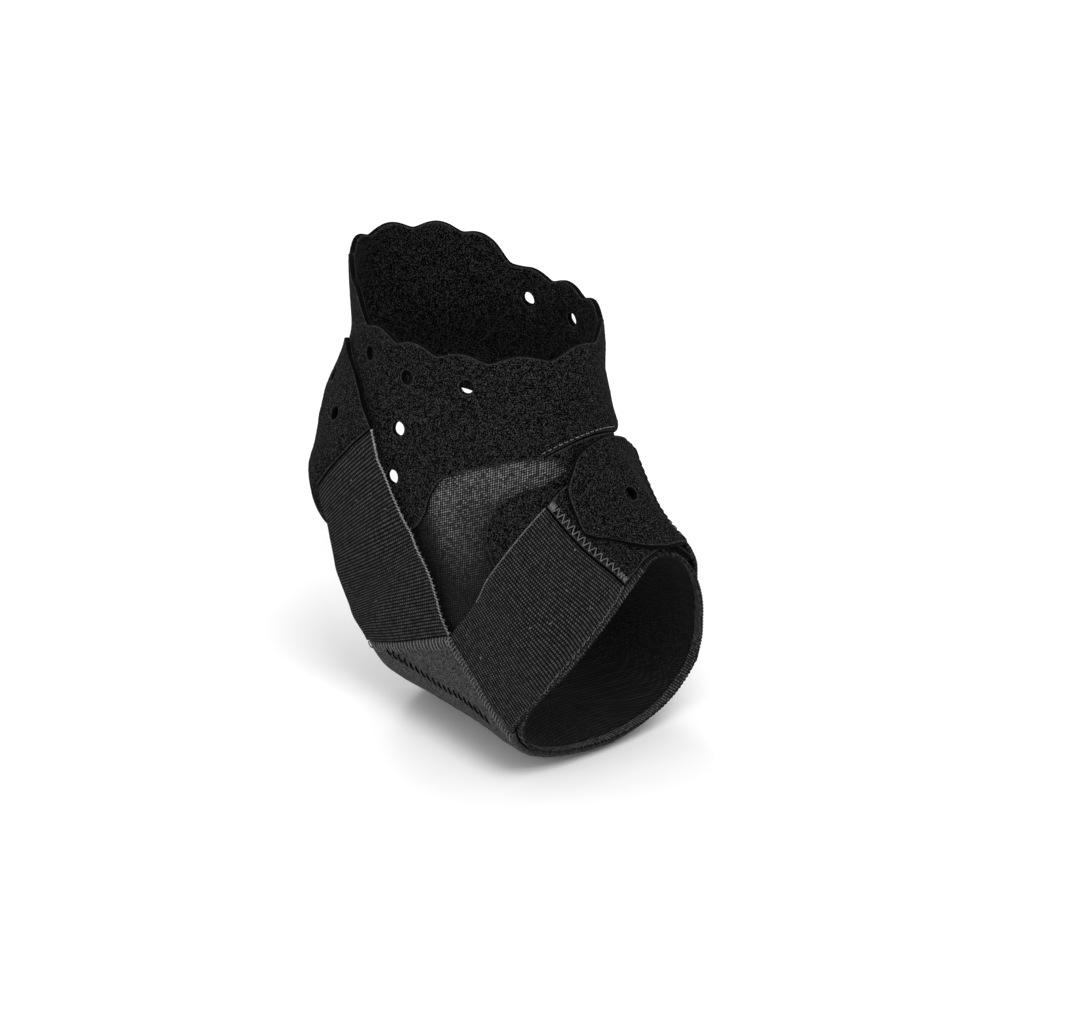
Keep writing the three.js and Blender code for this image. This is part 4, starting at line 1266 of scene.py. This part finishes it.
# %% Threads
def thread_material(name, low, high, specular=0.3):
    material, tree, shader, position, _ = start_material(name)
    tips = use(tree, "fibre tips", Position=position, Tip_size_mm=0.35, Clump_size_mm=1.4, Contrast=3.0)
    colour = blend(tree, tips["Tips"], low, high)
    finish_cloth(tree, shader, colour, tips["Height"], (0.4, 0.0001),
                 roughness=0.6, specular=specular, sheen=0.0)
    return material


pale_thread = thread_material("pale thread", 0.05, 0.26)
grey_thread = thread_material("grey thread", 0.04, 0.14)
dark_thread = thread_material("dark thread", 0.0005, 0.002, specular=0.02)
print("materials:", [material.name for material in bpy.data.materials if material.users == 0])

# %% [markdown]
# What stands for what
#
# Each dressed cloth takes the place of its CAD solid, which is hidden, and gets the finish of the
# material slot that it belongs to. Each row of stitches gets its thread.

# %% Finishes, and the CAD solids hidden
CLOTHS = {"sheer_knit": sheer, "velour": velour, "pad_knit": pad_knit, "elastic": elastic}
# The slot of each piece, and the CAD solid that it stands for
PIECES = {
    "sheer_sleeve": ("sheer_knit", "mesh_sleeve"),
    "ribbed_hem": ("sheer_knit", "front_hem"),
    "velour_cuff": ("velour", "ankle_cuff"),
    "velour_tongue": ("velour", "instep_tongue"),
    "arch_pad": ("pad_knit", "sole_pad"),
    "elastic_rear_lateral": ("elastic", "rear_strap_lateral"),
    "elastic_rear_medial": ("elastic", "rear_strap_medial"),
    "elastic_front_lateral": ("elastic", "front_strap_lateral"),
    "elastic_front_medial": ("elastic", "front_strap_medial"),
    "velour_tab_rear_lateral": ("velour", "rear_tab_lateral"),
    "velour_tab_rear_medial": ("velour", "rear_tab_medial"),
    "velour_tab_front_lateral": ("velour", "front_tab_lateral"),
    "velour_tab_front_medial": ("velour", "front_tab_medial"),
}
# The thread and the slot of each row of stitches, and the piece that carries it
SEWN_ON = {
    "selvedge_rear": (pale_thread, "elastic", "elastic_rear_lateral"),
    "selvedge_front": (grey_thread, "elastic", "elastic_front_lateral"),
    "zigzag_front": (grey_thread, "velour", "velour_tab_front_lateral"),
    "zigzag_inner": (dark_thread, "velour", "velour_tab_front_medial"),
    "pad_overlock": (grey_thread, "pad_knit", "arch_pad"),
    "pad_slanted": (dark_thread, "pad_knit", "arch_pad"),
    "pad_seam_rolls": (dark_thread, "pad_knit", "arch_pad"),
    "instep_seam": (pale_thread, "velour", "velour_tongue"),
    "rear_tab_seams": (dark_thread, "velour", "velour_tab_rear_lateral"),
}
for name, (slot, cad_node) in PIECES.items():
    made[name].data.materials.append(CLOTHS[slot])
    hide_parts(cad_node)
for name, (thread, slot, _) in SEWN_ON.items():
    made[name].data.materials.append(thread)

for name, piece in made.items():
    if name == "arch_pad":
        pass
    elif name in PIECES and name != "ribbed_hem":
        extras = [made["ribbed_hem"]] if name == "sheer_sleeve" else []
        extras += [made[other] for other, (_, _, carrier) in SEWN_ON.items() if carrier == name]

# %% [markdown]
# The studio
#
# The brace stands in a plain white studio, as the photograph shows it: a pale floor, a white
# surround and large soft lights, the main one high in front. The camera looks down a little on the
# outer front side through a long lens.

# %% Floor, surround and lights
floor_drop = 0.0006
floor_height = cad_box[0][2] - floor_drop
bpy.ops.mesh.primitive_plane_add(size=6.0, location=(0, 0, floor_height))
floor = bpy.context.object
floor.name = "studio_floor"
floor_paint = bpy.data.materials.new("pale floor")
floor_paint.use_nodes = True
floor_shader = floor_paint.node_tree.nodes["Principled BSDF"]
floor_shader.inputs["Base Color"].default_value = (0.9, 0.9, 0.9, 1)
floor_shader.inputs["Roughness"].default_value = 0.9
floor.data.materials.append(floor_paint)

world = bpy.data.worlds.new("white studio")
bpy.context.scene.world = world
world.use_nodes = True
background = world.node_tree.nodes["Background"]
background.inputs["Color"].default_value = (1, 1, 1, 1)
background.inputs["Strength"].default_value = 0.75


def soft_light(name, place, size, power):
    """A square area light that looks at the brace."""
    data = bpy.data.lights.new(name, "AREA")
    data.size = size
    data.energy = power
    light = bpy.data.objects.new(name, data)
    light.location = place
    light.rotation_euler = (-Vector(place)).to_track_quat("-Z", "Y").to_euler()
    bpy.context.scene.collection.objects.link(light)


soft_light("key", (1.1, -0.5, 1.5), 0.9, 22.0)
soft_light("fill", (0.2, -1.9, 0.7), 1.4, 9.0)
soft_light("back", (-1.4, 0.6, 1.2), 0.8, 9.0)

# %% The camera
AZIMUTH, ELEVATION = math.radians(48.4), math.radians(24.7)
DISTANCE = 2.5
PHOTO_WIDTH, PHOTO_HEIGHT = 1075, 1023
PIXELS_PER_METRE = 3230.0  # at the target, in the photograph
TARGET = Vector((0, 0, 0.002))
TARGET_PIXEL = (456.8, 444.5)
back = Vector((math.sin(AZIMUTH) * math.cos(ELEVATION), -math.cos(AZIMUTH) * math.cos(ELEVATION),
               math.sin(ELEVATION)))
right = Vector((math.cos(AZIMUTH), math.sin(AZIMUTH), 0))
up = back.cross(right)
camera_data = bpy.data.cameras.new("photo")
camera_data.sensor_width = 36.0
camera_data.lens = camera_data.sensor_width * PIXELS_PER_METRE * DISTANCE / PHOTO_WIDTH
camera_data.clip_end = 20.0
camera = bpy.data.objects.new("photo", camera_data)
move_right = (PHOTO_WIDTH / 2 - TARGET_PIXEL[0]) / PIXELS_PER_METRE
move_down = (PHOTO_HEIGHT / 2 - TARGET_PIXEL[1]) / PIXELS_PER_METRE
eye = TARGET + right * move_right - up * move_down + back * DISTANCE
camera.matrix_world = Matrix.Translation(eye) @ Matrix((right, up, back)).transposed().to_4x4()
bpy.context.scene.collection.objects.link(camera)
bpy.context.scene.camera = camera
bpy.context.scene.view_settings.view_transform = "Standard"
print("camera lens:", round(camera_data.lens, 1), "mm")
